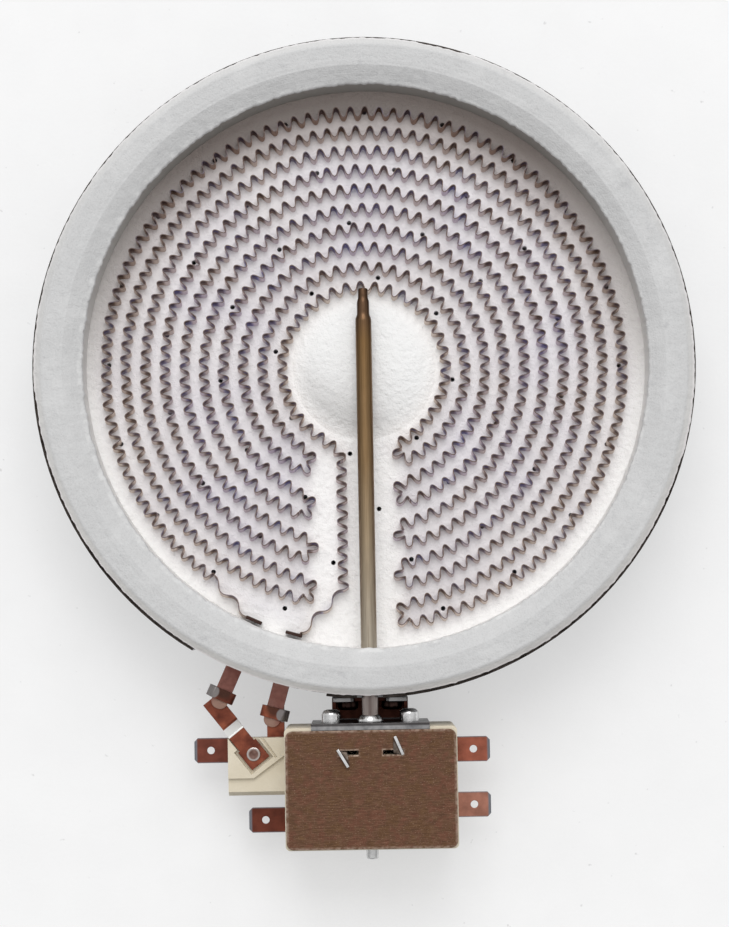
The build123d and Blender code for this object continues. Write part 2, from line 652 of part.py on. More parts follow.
# Cover lugs: strips set in the housing's front wall, twisted over the cover
COVER_TOP_Z = HOUSING_TOP_Z + COVER_SHEET
with BuildPart() as cover_lugs:
    for side, offset, twist in LUG_HEADS:
        lug_x = (side * LUG_X - LUG_WIDTH / 2, side * LUG_X + LUG_WIDTH / 2)
        lug_y = (LUG_Y - LUG_SHEET / 2, LUG_Y + LUG_SHEET / 2)
        span(lug_x, lug_y, (LUG_ROOT_Z, COVER_TOP_Z))
        head_centre = (side * LUG_X + offset[0], LUG_Y + offset[1], COVER_TOP_Z + LUG_HEAD_HEIGHT / 2)
        with Locations(Location(head_centre, (0, 0, twist))):
            Box(LUG_HEAD_LENGTH, LUG_SHEET, LUG_HEAD_HEIGHT)
write(cover_lugs, "cover_lugs")

POCKET_MARGIN = 0.7
POCKET = (STRAP_PAD[0] - POCKET_MARGIN, STRAP_PAD[1] + POCKET_MARGIN)
CHANNEL = (0.0, STRAP_A_LENGTH)
CHANNEL_DEPTH = 5.0
SLOT_WIDTH = LUG_SHEET + 0.3

# Limiter housing: a steatite box, open at the top, with a side block for the neutral tab
with BuildPart() as limiter_housing:
    span(
        (-HOUSING_SIDE, HOUSING_SIDE), (HOUSING_BACK_Y, HOUSING_FRONT_Y), (HOUSING_BOTTOM_Z, HOUSING_TOP_Z)
    )
    fillet(limiter_housing.edges().filter_by(Axis.Z), 1.2)
    span(BLOCK_X, BLOCK_Y, BLOCK_Z)
    block_rim = limiter_housing.edges().filter_by(Axis.X).group_by(Axis.Z)
    back_rim = [e for e in block_rim[-2] if abs(e.center().Y - BLOCK_Y[0]) < 0.01]
    chamfer(back_rim, 3.0, 1.5)
    span(
        (-CAVITY_SIDE, CAVITY_SIDE),
        (CAVITY_BACK_Y, CAVITY_FRONT_Y),
        (CAVITY_FLOOR_Z, HOUSING_TOP_Z),
        Mode.SUBTRACT,
    )
    rod_along_y(TUBE_RADIUS, (TUBE_END_Y, HOUSING_FRONT_Y), mode=Mode.SUBTRACT)
    rod_along_y(TUBE_BORE_RADIUS, (CAVITY_FRONT_Y, TUBE_END_Y), mode=Mode.SUBTRACT)
    rod_along_y(BUSH_RADIUS, (HOUSING_BACK_Y, CAVITY_BACK_Y), mode=Mode.SUBTRACT)
    for side in (-1, 1):
        rod_along_y(
            SCREW_HOLE_RADIUS,
            (CAVITY_FRONT_Y, HOUSING_FRONT_Y),
            (side * BODY_SCREW_X, BODY_SCREW_Z),
            Mode.SUBTRACT,
        )
    add(cover_lugs.part, mode=Mode.SUBTRACT)
    for terminal in (line_terminal, signal_fixed_terminal, signal_blade_terminal, link_strap_b, strap_rivet):
        add(terminal.part, mode=Mode.SUBTRACT)
    # Pocket and channel in the block's top for the first strap and its pad
    for recess, half_width in (
        (POCKET, STRAP_PAD_WIDTH / 2 + POCKET_MARGIN),
        (CHANNEL, STRAP_WIDTH / 2 + FIT_GAP),
    ):
        with BuildSketch(strap_plane):
            with Locations((sum(recess) / 2, STRAP_HIGH_Z + CHANNEL_DEPTH / 2)):
                Rectangle(recess[1] - recess[0], CHANNEL_DEPTH)
        extrude(amount=half_width, both=True, mode=Mode.SUBTRACT)
    # Step and groove moulded in the block's top
    with BuildSketch(Plane.XY.offset(BLOCK_Z[1] - BLOCK_STEP_DEPTH)):
        with BuildLine():
            below = BLOCK_Y[0] - 1
            Polyline(*BLOCK_STEP, (BLOCK_STEP[2][0], below), (BLOCK_STEP[0][0], below), close=True)
        make_face()
    extrude(amount=2 * BLOCK_STEP_DEPTH, mode=Mode.SUBTRACT)
    groove_run = (BLOCK_GROOVE[1][0] - BLOCK_GROOVE[0][0], BLOCK_GROOVE[1][1] - BLOCK_GROOVE[0][1])
    groove_middle = (sum(p[0] for p in BLOCK_GROOVE) / 2, sum(p[1] for p in BLOCK_GROOVE) / 2, BLOCK_Z[1])
    with Locations(Location(groove_middle, (0, 0, degrees(atan2(groove_run[1], groove_run[0]))))):
        Box(hypot(*groove_run), BLOCK_GROOVE_WIDTH, 2 * BLOCK_GROOVE_WIDTH, mode=Mode.SUBTRACT)
    # Pockets under the cover's slots, round the necks of the lugs
    for side in (-1, 1):
        neck = side * LUG_X
        half_slot = LUG_WIDTH / 2 + FIT_GAP
        span(
            (neck - half_slot, neck + half_slot),
            (LUG_Y - SLOT_WIDTH / 2, LUG_Y + SLOT_WIDTH / 2),
            (LUG_POCKET_Z, HOUSING_TOP_Z),
            Mode.SUBTRACT,
        )
write(limiter_housing, "limiter_housing")

# Limiter cover: a mica sheet over the housing, slotted for the lugs
with BuildPart() as limiter_cover:
    cover_y = (HOUSING_BACK_Y + COVER_MARGIN, HOUSING_FRONT_Y - COVER_MARGIN_FRONT)
    span((-HOUSING_SIDE + COVER_MARGIN, HOUSING_SIDE - COVER_MARGIN), cover_y, (HOUSING_TOP_Z, COVER_TOP_Z))
    fillet(limiter_cover.edges().filter_by(Axis.Z), COVER_CORNER)
    with Locations((-LUG_X, LUG_Y, HOUSING_TOP_Z), (LUG_X, LUG_Y, HOUSING_TOP_Z)):
        Box(LUG_WIDTH + 2 * FIT_GAP, SLOT_WIDTH, 4 * COVER_SHEET, mode=Mode.SUBTRACT)
write(limiter_cover, "limiter_cover")

# Bracket: a channel of bent sheet that carries the limiter on the dish's wall
DISH_FLANGE_Y = -DISH_RADIUS - DISH_FLANGE_GAP
with BuildPart() as bracket:
    span(
        (-BRACKET_HALF_WIDTH, BRACKET_HALF_WIDTH),
        (HOUSING_FRONT_Y, HOUSING_FRONT_Y + BRACKET_SHEET),
        (BRACKET_FLOOR_Z, HOUSING_TOP_Z),
    )
    span(
        (-BRACKET_NECK_HALF_WIDTH, BRACKET_NECK_HALF_WIDTH),
        (HOUSING_FRONT_Y, DISH_FLANGE_Y),
        (BRACKET_FLOOR_Z, BRACKET_FLOOR_Z + BRACKET_SHEET),
    )
    span(
        (-BRACKET_NECK_HALF_WIDTH, BRACKET_NECK_HALF_WIDTH),
        (DISH_FLANGE_Y - BRACKET_SHEET, DISH_FLANGE_Y),
        (BRACKET_FLOOR_Z, BRACKET_DISH_FLANGE_TOP),
    )
    # The dish flange ends in two tabs, one on each side of the tube
    span(
        (-BRACKET_TAB_INNER_X, BRACKET_TAB_INNER_X),
        (DISH_FLANGE_Y - BRACKET_SHEET, DISH_FLANGE_Y),
        (BRACKET_TAB_ROOT_Z, BRACKET_DISH_FLANGE_TOP),
        Mode.SUBTRACT,
    )
    tab_corners = [
        e for e in bracket.edges().filter_by(Axis.Y) if abs(e.center().Z - BRACKET_DISH_FLANGE_TOP) < 0.01
    ]
    fillet(tab_corners, BRACKET_TAB_CORNER)
    # The other flange is folded over the housing's front wall, up to the cover
    span(
        (-BRACKET_HALF_WIDTH, BRACKET_HALF_WIDTH),
        (HOUSING_FRONT_Y - COVER_MARGIN_FRONT + BRACKET_LIP_GAP, HOUSING_FRONT_Y + BRACKET_SHEET),
        (HOUSING_TOP_Z, HOUSING_TOP_Z + BRACKET_LIP_SHEET),
    )
    for side in (-1, 1):
        span(
            (side * (BRACKET_NECK_HALF_WIDTH - BRACKET_SHEET), side * BRACKET_NECK_HALF_WIDTH),
            (HOUSING_FRONT_Y, DISH_FLANGE_Y),
            (BRACKET_FLOOR_Z, BRACKET_CHEEK_TOP),
        )
    rod_along_y(TUBE_RADIUS, (HOUSING_FRONT_Y, COLLAR_FACE_Y), mode=Mode.SUBTRACT)
    for side in (-1, 1):
        rod_along_y(
            SCREW_HOLE_RADIUS,
            (HOUSING_FRONT_Y, COLLAR_FACE_Y),
            (side * BODY_SCREW_X, BODY_SCREW_Z),
            Mode.SUBTRACT,
        )
        rod_along_y(
            SCREW_HOLE_RADIUS,
            (DISH_FLANGE_Y - BRACKET_SHEET, DISH_FLANGE_Y),
            (side * DISH_SCREW_X, DISH_SCREW_Z),
            Mode.SUBTRACT,
        )
write(bracket, "bracket")


# Screws: two hold the bracket to the dish, two hold the housing to the bracket
def make_screws(x, z, seat_y, head_way, head_radius, head_height, shank_length):
    """A pair of domed screws along Y, seated at seat_y, with heads on the side that head_way gives."""
    with BuildPart() as screws:
        for side in (-1, 1):
            rod_along_y(head_radius, (seat_y, seat_y + head_way * head_height), (side * x, z))
            rod_along_y(SCREW_SHANK_RADIUS, (seat_y, seat_y - head_way * shank_length), (side * x, z))
        crowns = screws.edges().filter_by(GeomType.CIRCLE).group_by(Axis.Y)
        fillet(crowns[-1] if head_way > 0 else crowns[0], head_height * 0.45)
        slot_y = seat_y + head_way * head_height
        for side in (-1, 1):
            with Locations((side * x, slot_y, z)):
                Box(head_radius * 2.4, head_height * 0.5, 0.7, mode=Mode.SUBTRACT)
    return screws


write(make_screws(DISH_SCREW_X, DISH_SCREW_Z, DISH_FLANGE_Y - BRACKET_SHEET, -1, 2.6, 2.2, 5.5), "dish_screws")
write(make_screws(BODY_SCREW_X, BODY_SCREW_Z, COLLAR_FACE_Y, 1, 2.4, 3.2, 6.5), "housing_screws")

# Calibration bush and screw in the housing's back wall
with BuildPart() as calibration_bush:
    rod_along_y(BUSH_RADIUS, (HOUSING_BACK_Y, CAVITY_BACK_Y))
    rod_along_y(CALIBRATION_RADIUS + CALIBRATION_CLEARANCE, (HOUSING_BACK_Y, CAVITY_BACK_Y), mode=Mode.SUBTRACT)
write(calibration_bush, "calibration_bush")

with BuildPart() as calibration_screw:
    rod_along_y(CALIBRATION_RADIUS, (CALIBRATION_TIP_Y, CALIBRATION_END_Y))
    chamfer(calibration_screw.edges().filter_by(GeomType.CIRCLE), 0.3)
    with Locations((0, CALIBRATION_TIP_Y, TUBE_Z)):
        Box(4 * CALIBRATION_RADIUS, 1.6, 0.6, mode=Mode.SUBTRACT)
write(calibration_screw, "calibration_screw")
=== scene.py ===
# A radiant hob heating element with its rod limiter, lying on a pale bench and seen from above.
from math import acos, atan2, cos, degrees, pi, radians, sin, tau

import bpy
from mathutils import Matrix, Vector


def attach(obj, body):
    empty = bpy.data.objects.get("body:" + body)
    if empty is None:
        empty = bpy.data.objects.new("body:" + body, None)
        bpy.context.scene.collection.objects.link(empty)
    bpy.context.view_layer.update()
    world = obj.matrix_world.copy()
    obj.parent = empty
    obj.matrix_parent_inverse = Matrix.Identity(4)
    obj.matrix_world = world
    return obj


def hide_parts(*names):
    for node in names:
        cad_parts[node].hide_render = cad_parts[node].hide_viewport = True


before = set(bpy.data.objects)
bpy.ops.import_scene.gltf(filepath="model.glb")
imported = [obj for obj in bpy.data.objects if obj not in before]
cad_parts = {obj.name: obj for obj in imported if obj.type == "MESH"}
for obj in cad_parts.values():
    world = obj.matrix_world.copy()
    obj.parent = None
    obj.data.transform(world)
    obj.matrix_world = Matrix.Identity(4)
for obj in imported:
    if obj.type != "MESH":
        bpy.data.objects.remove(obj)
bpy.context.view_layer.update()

# Camera: straight above, leaning a little towards the limiter, far enough away
# that the dish's wall barely shows. The picture is 729 wide and 927 high.
MM = 0.001
LENS = 100.3
SENSOR_WIDTH = 36
CAMERA_PLACE = (-0.9 * MM, -57.85 * MM, 667 * MM)
CAMERA_LEAN = 2.99
CAMERA_ROLL = -1.0
camera = bpy.data.objects.new("camera", bpy.data.cameras.new("camera"))
camera.data.lens = LENS
camera.data.sensor_width = SENSOR_WIDTH
camera.location = CAMERA_PLACE
camera.rotation_euler = (radians(CAMERA_LEAN), 0, radians(CAMERA_ROLL))
bpy.context.scene.collection.objects.link(camera)
bpy.context.scene.camera = camera
bpy.context.scene.view_settings.view_transform = "Standard"

# Light: a white tent, brighter overhead and on the far side of the dish than on the
# near side, and one large soft lamp above the far side.
LAMP_FROM_ZENITH = 38
LAMP_DISTANCE = 2.6
LAMP_WATTS = 30.0
LAMP_SIZE = 1.7
TENT_SIDE = 0.50
TENT_RISE = 0.45
TENT_FAR_SIDE = 0.36
tent = bpy.data.worlds.new("tent")
tent.use_nodes = True
bpy.context.scene.world = tent
tent_nodes = tent.node_tree.nodes
tent_links = tent.node_tree.links
direction = tent_nodes.new("ShaderNodeTexCoord")
sky_way = tent_nodes.new("ShaderNodeSeparateXYZ")
tent_links.new(direction.outputs["Generated"], sky_way.inputs[0])
brightness = None
for axis, share in (("Z", TENT_RISE), ("Y", TENT_FAR_SIDE)):
    step = tent_nodes.new("ShaderNodeMath")
    step.operation = "MULTIPLY_ADD"
    step.inputs[1].default_value = share
    step.inputs[2].default_value = TENT_SIDE
    tent_links.new(sky_way.outputs[axis], step.inputs[0])
    if brightness:
        tent_links.new(brightness.outputs[0], step.inputs[2])
    brightness = step
tent_links.new(brightness.outputs[0], tent_nodes["Background"].inputs["Strength"])
tent_nodes["Background"].inputs["Color"].default_value = (1, 1, 1, 1)
lamp = bpy.data.objects.new("lamp", bpy.data.lights.new("lamp", "AREA"))
lamp.data.size = LAMP_SIZE
lamp.data.energy = LAMP_WATTS
lamp_tilt = radians(LAMP_FROM_ZENITH)
lamp.location = (0, LAMP_DISTANCE * sin(lamp_tilt), LAMP_DISTANCE * cos(lamp_tilt))
lamp.rotation_euler = (-lamp_tilt, 0, 0)
bpy.context.scene.collection.objects.link(lamp)


# Bench: a large plain sheet of pale card under the element, with a few small specks.
# It shows a little brighter than it is lit, so that it stays pale round the object.
def finish(name, colour, rough, metal=0.0):
    """A new material with one colour, roughness and metalness on the shader itself."""
    made = bpy.data.materials.new(name)
    made.use_nodes = True
    shader = made.node_tree.nodes["Principled BSDF"]
    shader.inputs["Base Color"].default_value = (*colour, 1)
    shader.inputs["Roughness"].default_value = rough
    shader.inputs["Metallic"].default_value = metal
    return made


def noise(made, scale, detail=4.0, stretch=(1, 1, 1), rough=0.55):
    """Noise through the piece's own space, in lumps per metre, as a number from about 0.3 to 0.7."""
    tree = made.node_tree
    place = tree.nodes.new("ShaderNodeTexCoord")
    sized = tree.nodes.new("ShaderNodeMapping")
    sized.inputs["Scale"].default_value = stretch
    lumps = tree.nodes.new("ShaderNodeTexNoise")
    lumps.inputs["Scale"].default_value = scale
    lumps.inputs["Detail"].default_value = detail
    lumps.inputs["Roughness"].default_value = rough
    tree.links.new(place.outputs["Object"], sized.inputs["Vector"])
    tree.links.new(sized.outputs["Vector"], lumps.inputs["Vector"])
    return lumps.outputs["Fac"]


def ramp(made, fac, stops):
    """Colours along a number: (place, colour) pairs."""
    scale = made.node_tree.nodes.new("ShaderNodeValToRGB")
    marks = scale.color_ramp.elements
    while len(marks) < len(stops):
        marks.new(0.5)
    for mark, (place, colour) in zip(marks, stops):
        mark.position = place
        mark.color = (*colour, 1)
    made.node_tree.links.new(fac, scale.inputs["Fac"])
    return scale.outputs["Color"]


def spread(made, fac, low, high, start=0.3, end=0.7):
    """A number spread between two values."""
    stretch = made.node_tree.nodes.new("ShaderNodeMapRange")
    stretch.inputs["From Min"].default_value = start
    stretch.inputs["From Max"].default_value = end
    stretch.inputs["To Min"].default_value = low
    stretch.inputs["To Max"].default_value = high
    made.node_tree.links.new(fac, stretch.inputs["Value"])
    return stretch.outputs["Result"]


def mix(made, fac, first, second, way="MIX"):
    """Two colours mixed by a number."""
    blend = made.node_tree.nodes.new("ShaderNodeMix")
    blend.data_type = "RGBA"
    blend.blend_type = way
    ends = {"Factor": fac, "A": first, "B": second}
    for socket in blend.inputs:
        value = ends.get(socket.name)
        wanted = "VALUE" if socket.name == "Factor" else "RGBA"
        if value is None or socket.type != wanted or not socket.enabled:
            continue
        if isinstance(value, bpy.types.NodeSocket):
            made.node_tree.links.new(value, socket)
        elif isinstance(value, tuple):
            socket.default_value = (*value, 1)
        else:
            socket.default_value = value
    return next(out for out in blend.outputs if out.type == "RGBA")


def maths(made, way, first, second=0.0):
    """One sum on two numbers, each a socket or a plain value."""
    sum_node = made.node_tree.nodes.new("ShaderNodeMath")
    sum_node.operation = way
    for socket, value in zip(sum_node.inputs, (first, second)):
        if isinstance(value, bpy.types.NodeSocket):
            made.node_tree.links.new(value, socket)
        else:
            socket.default_value = value
    return sum_node.outputs[0]


def place_on(made, axis):
    """Where a point is along an axis of the object's frame, in metres."""
    tree = made.node_tree
    place = tree.nodes.new("ShaderNodeTexCoord")
    split = tree.nodes.new("ShaderNodeSeparateXYZ")
    tree.links.new(place.outputs["Object"], split.inputs[0])
    return split.outputs[axis]


def from_axis(made, centre=(0, 0)):
    """How far a point is from an upright line, in metres."""
    east = maths(made, "SUBTRACT", place_on(made, "X"), centre[0])
    north = maths(made, "SUBTRACT", place_on(made, "Y"), centre[1])
    squares = maths(made, "ADD", maths(made, "POWER", east, 2.0), maths(made, "POWER", north, 2.0))
    return maths(made, "SQRT", squares)


def into(made, socket_name, value):
    """Feeds a value into the shader's socket."""
    made.node_tree.links.new(value, made.node_tree.nodes["Principled BSDF"].inputs[socket_name])


def grain(made, height_value, depth):
    """Raises the surface by a number, on top of any grain it already has."""
    tree = made.node_tree
    normal = tree.nodes["Principled BSDF"].inputs["Normal"]
    raised = tree.nodes.new("ShaderNodeBump")
    raised.inputs["Distance"].default_value = depth
    tree.links.new(height_value, raised.inputs["Height"])
    if normal.links:
        tree.links.new(normal.links[0].from_socket, raised.inputs["Normal"])
    tree.links.new(raised.outputs["Normal"], normal)


def new_piece(name, verts, faces, made, sharp=40):
    """A mesh object from points and faces, smooth except at sharp edges."""
    mesh = bpy.data.meshes.new(name)
    mesh.from_pydata(verts, [], faces)
    mesh.validate()
    mesh.polygons.foreach_set("use_smooth", [True] * len(mesh.polygons))
    mesh.set_sharp_from_angle(angle=radians(sharp))
    mesh.materials.append(made)
    piece = bpy.data.objects.new(name, mesh)
    bpy.context.scene.collection.objects.link(piece)
    return piece


BENCH_HALF = 12.0
BENCH_GLOW = 0.45
card = finish("bench_card", (0.426, 0.426, 0.428), 0.9)
pale = ramp(card, noise(card, 60, 3), [(0.35, (0.418, 0.418, 0.42)), (0.65, (0.434, 0.434, 0.436))])
specks = spread(card, noise(card, 420, 2), 0.0, 0.5, 0.72, 0.78)
into(card, "Base Color", mix(card, specks, pale, (0.1, 0.1, 0.1)))
card.node_tree.nodes["Principled BSDF"].inputs["Emission Color"].default_value = (1, 1, 1, 1)
ray = card.node_tree.nodes.new("ShaderNodeLightPath")
mirrored = maths(card, "MAXIMUM", ray.outputs["Is Glossy Ray"], ray.outputs["Is Transmission Ray"])
seen = maths(card, "MAXIMUM", ray.outputs["Is Camera Ray"], mirrored)
into(card, "Emission Strength", maths(card, "MULTIPLY", seen, BENCH_GLOW))
grain(card, noise(card, 900, 3), 0.05 * MM)
bench_corners = [(x * BENCH_HALF, y * BENCH_HALF, 0) for x, y in ((-1, -1), (1, -1), (1, 1), (-1, 1))]
bench = new_piece("bench", bench_corners, [(0, 1, 2, 3)], card)


# Dish: a shallow pan drawn from thin aluminised sheet, dull grey, with a notch
# for the leads. Its rim shows as a thin line round the ring, and the top of the rim is painted near-black as
# painted shade.
WELD_REACH = 0.002 * MM
FLAT_WITHIN = 1
SHARP_OVER = 35


def wear(node, made, edge=0.0):
    """Gives a CAD node its finish, and rounds its edges by a small width."""
    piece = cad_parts[node]
    for holder in piece.material_slots:
        holder.material = made
    if edge:
        weld = piece.modifiers.new("weld", "WELD")
        weld.merge_threshold = WELD_REACH
        flat = piece.modifiers.new("flat", "DECIMATE")
        flat.decimate_type = "DISSOLVE"
        flat.angle_limit = radians(FLAT_WITHIN)
        round_over = piece.modifiers.new("round_over", "BEVEL")
        round_over.width = edge
        round_over.segments = 2
        round_over.limit_method = "ANGLE"
        round_over.angle_limit = radians(SHARP_OVER)
        even = piece.modifiers.new("even", "WEIGHTED_NORMAL")
        even.keep_sharp = True


def rising(made, value, reach):
    """A number that goes from 0 to 1 between two places."""
    return spread(made, value, 0.0, 1.0, *reach)


RIM_Z = 26.2 * MM
RIM_SHADE_DEPTH = 2 * MM
dish_sheet = finish("dish_sheet", (0.30, 0.30, 0.305), 0.42, 1.0)
spangle = noise(dish_sheet, 420, 3)
drawn_marks = noise(dish_sheet, 260, 3, (1, 1, 0.08))
sheet_grey = ramp(dish_sheet, spangle, [(0.3, (0.31, 0.31, 0.315)), (0.7, (0.38, 0.38, 0.388))])
drawn_tone = ramp(dish_sheet, drawn_marks, [(0.3, (0.86, 0.86, 0.86)), (0.7, (1.0, 1.0, 1.0))])
sheet_grey = mix(dish_sheet, 1.0, sheet_grey, drawn_tone, "MULTIPLY")
# Painted shade: the top 2 mm of the rim are painted near-black, so that the rim shows as a dark line.
rim_shade_colour = ramp(
    dish_sheet, noise(dish_sheet, 300, 3), [(0.3, (0.018, 0.014, 0.012)), (0.7, (0.06, 0.05, 0.045))]
)
rim_shade_mask = rising(dish_sheet, place_on(dish_sheet, "Z"), (RIM_Z - RIM_SHADE_DEPTH, RIM_Z))
into(dish_sheet, "Base Color", mix(dish_sheet, rim_shade_mask, sheet_grey, rim_shade_colour))
into(dish_sheet, "Roughness", spread(dish_sheet, noise(dish_sheet, 90), 0.32, 0.55))
grain(dish_sheet, drawn_marks, 0.04 * MM)
wear("dish", dish_sheet)


# Base insulation: a white board pressed from mineral powder, slightly pebbly,
# domed at its middle, with rows of holes left by the press. Heat has tinted it. Painted shade darkens the
# dome's lower side, the board between the tracks and the board by the far wall.
DOME_EDGE = 18 * MM
DOME_FADE = 4 * MM
DOME_LIGHT_WAY = (0.55, 0.83)
TRACKS_START = (18 * MM, 22 * MM)
TRACKS_END = (65 * MM, 69 * MM)
CHANNEL_X = -3 * MM
CHANNEL_SIDE = (10 * MM, 14 * MM)
CHANNEL_END = (-24 * MM, -16 * MM)
WALL_SCORCH_AND_SHADE = (53.4 * MM, 68.4 * MM)
SHADED_FAR_SIDE = (-10 * MM, 55 * MM)


def falling(made, value, reach):
    """A number that goes from 1 to 0 between two places."""
    return spread(made, value, 1.0, 0.0, *reach)


def both(made, first, second):
    """Two numbers multiplied: where both marks meet."""
    return maths(made, "MULTIPLY", first, second)


def on_shaded_far_side(made):
    """The far side of the element, where painted shade from the ring's wall goes."""
    return rising(made, place_on(made, "Y"), SHADED_FAR_SIDE)


board = finish("pressed_board", (0.83, 0.82, 0.81), 0.95)
pebbles = noise(board, 620, 4, rough=0.6)
powder = ramp(
    board, pebbles, [(0.30, (0.865, 0.852, 0.845)), (0.5, (0.905, 0.893, 0.885)), (0.75, (0.92, 0.91, 0.902))]
)
# Painted shade: the dome is painted darker on its side away from the lamp, where its slope would be shaded.
on_dome = falling(board, from_axis(board), (DOME_EDGE - DOME_FADE, DOME_EDGE))
dome_ways = [both(board, place_on(board, axis), share) for axis, share in zip("XY", DOME_LIGHT_WAY)]
toward_lamp_on_dome = maths(board, "ADD", *dome_ways)
dome_painted_shade = ramp(
    board,
    rising(board, toward_lamp_on_dome, (-DOME_EDGE, DOME_EDGE)),
    [
        (0.04, (0.58, 0.572, 0.565)),
        (0.18, (0.66, 0.652, 0.646)),
        (0.34, (0.79, 0.786, 0.782)),
        (0.60, (0.83, 0.828, 0.824)),
    ],
)
powder = mix(board, on_dome, powder, dome_painted_shade)
# Between the tracks the board is painted a darker lilac grey: partly heat tint, partly painted shade and
# reflection from the ribbons.
on_tracks = both(
    board, rising(board, from_axis(board), TRACKS_START), falling(board, from_axis(board), TRACKS_END)
)
off_channel = maths(board, "ABSOLUTE", maths(board, "SUBTRACT", place_on(board, "X"), CHANNEL_X))
in_channel = both(
    board, falling(board, off_channel, CHANNEL_SIDE), falling(board, place_on(board, "Y"), CHANNEL_END)
)
tracks_tint_and_shade = both(board, on_tracks, maths(board, "SUBTRACT", 1.0, in_channel))
tracks_tint_and_shade = both(board, tracks_tint_and_shade, spread(board, noise(board, 90, 3), 0.6, 1.0))
powder = mix(board, tracks_tint_and_shade, powder, (0.772, 0.752, 0.774))
# Near the far wall the board is painted dark brown: partly scorch, partly painted shade cast by the wall.
wall_scorch_and_shade = both(board, rising(board, from_axis(board), WALL_SCORCH_AND_SHADE), on_shaded_far_side(board))
into(board, "Base Color", mix(board, wall_scorch_and_shade, powder, (0.38, 0.326, 0.302)))
grain(board, pebbles, 0.6 * MM)
grain(board, noise(board, 2400, 3), 0.1 * MM)
wear("base_insulation", board)

# Heating ribbon: one strip of resistance alloy, crimped into waves, stood on edge
# and pressed into the board. Firing has left it brown with violet and blue tints. Painted shade darkens the
# inside of each bend towards its top edge, and painted light makes the outside of each bend a paler tan.
TRACKS = 10
TRACK_PITCH = 4.92
OUTER_TRACK = 64.8
HALF_WAVE = 1.795
WAVE_HEIGHT = 1.25
TURN_WAVE_HEIGHT = 1.2
WAVE_ROUNDING = 0.1
TAIL_HALF_WAVE = 3.7
TAIL_WAVE_HEIGHT = 0.85
RIBBON_THICK = 0.24
RIBBON_BOTTOM = 17.2
RIBBON_TOP = 21.8
RIBBON_EDGE = 0.06
RIBBON_LEAN = Vector((0.05, 1.05))
STEPS_PER_HALF_WAVE = 10
BOW_AT_PEAK = 0.07
RIBBON_SINK = 0.06
LEAD_RADIUS = 68.6
LEAD_A_ANGLE = 245.5
LEAD_B_ANGLE = 254.3
LEAD_WELD_ANGLE = 1.2
FIRST_ANGLE = 233.0
LAST_ANGLE = 232.0
RIGHT_TURN_X = 10.2
LEFT_TURN_X = -16.0
RUN_X = -6.1
RUN_END_Y = -55.2
RUN_BEND = 4.0
# How the strip wanders sideways, swells and lifts along its length: size, pace and start of each ripple
WANDER = ((0.07, 0.31, 0.0), (0.05, 0.137, 1.0))
SWELL = ((0.05, 0.23, 0.0), (0.04, 0.71, 2.0))
LIFT = ((0.06, 0.013, 0.0), (0.05, 0.0047, 0.0))
# How deep the painted shade inside the bends goes, and from where to where the heat has tinted the strip
BEND_SHADE_DEPTH = ((RIBBON_TOP - 2.4) * MM, (RIBBON_TOP - 0.5) * MM)
VIOLET_START = (21 * MM, 28 * MM)
VIOLET_END = (50 * MM, 61 * MM)
OUTERMOST = (56 * MM, 63 * MM)


def at_angle(radius, angle):
    """The point at a radius and an angle in degrees."""
    return Vector((radius * cos(radians(angle)), radius * sin(radians(angle))))


def bend(centre, radius, start, sweep):
    """An arc of the ribbon's route: its length, and a function that gives place and left-hand normal."""
    way = 1 if sweep > 0 else -1

    def place(distance):
        angle = radians(start) + way * distance / radius
        out = Vector((cos(angle), sin(angle)))
        return centre + radius * out, -way * out

    return radius * radians(abs(sweep)), place


def run(start, end):
    """A straight of the ribbon's route, in the same form as a bend."""
    along = (end - start).normalized()
    return (end - start).length, lambda distance: (start + along * distance, Vector((-along.y, along.x)))


def ripple(at, waves):
    """A gentle swing along a length, from (size, pace, start) waves."""
    return sum(size * sin(at * pace + start) for size, pace, start in waves)


def mottle(made, lumps, stops, detail=4.0):
    """Gives a finish patches of a few shades."""
    into(made, "Base Color", ramp(made, noise(made, lumps, detail), stops))


dish_middle = Vector((0, 0))
radii = [OUTER_TRACK - TRACK_PITCH * i for i in range(TRACKS)]
track_wave = (HALF_WAVE, WAVE_HEIGHT)
turn_wave = (HALF_WAVE, TURN_WAVE_HEIGHT)
tail_wave = (TAIL_HALF_WAVE, TAIL_WAVE_HEIGHT)
lead_a = at_angle(LEAD_RADIUS, LEAD_A_ANGLE - LEAD_WELD_ANGLE)
lead_b = at_angle(LEAD_RADIUS, LEAD_B_ANGLE + LEAD_WELD_ANGLE)
route = [(run(lead_a, at_angle(radii[0], FIRST_ANGLE)), tail_wave)]
track_start = FIRST_ANGLE
for i, radius in enumerate(radii[:-1]):
    mean_radius = radius - TRACK_PITCH / 2
    rightward = i % 2 == 0
    turn_x = RIGHT_TURN_X if rightward else LEFT_TURN_X
    track_end = (0 if rightward else 360) - degrees(acos(turn_x / mean_radius))
    route.append((bend(dish_middle, radius, track_start, track_end - track_start), track_wave))
    half_turn = -180 if rightward else 180
    route.append((bend(at_angle(mean_radius, track_end), TRACK_PITCH / 2, track_end, half_turn), turn_wave))
    track_start = track_end
route.append((bend(dish_middle, radii[-1], track_start, LAST_ANGLE - track_start), track_wave))
leave = at_angle(radii[-1], LAST_ANGLE)
heading = LAST_ANGLE - 270
onward = at_angle(1, heading)
straight = (RUN_X - leave.x - RUN_BEND * (1 + onward.y)) / onward.x
bend_start = leave + onward * straight
bend_centre = Vector((RUN_X - RUN_BEND, bend_start.y - RUN_BEND * onward.x))
route.append((run(leave, bend_start), track_wave))
route.append((bend(bend_centre, RUN_BEND, heading + 90, -heading - 90), track_wave))
route.append((run(Vector((RUN_X, bend_centre.y)), Vector((RUN_X, RUN_END_Y))), track_wave))
route.append((run(Vector((RUN_X, RUN_END_Y)), lead_b), tail_wave))

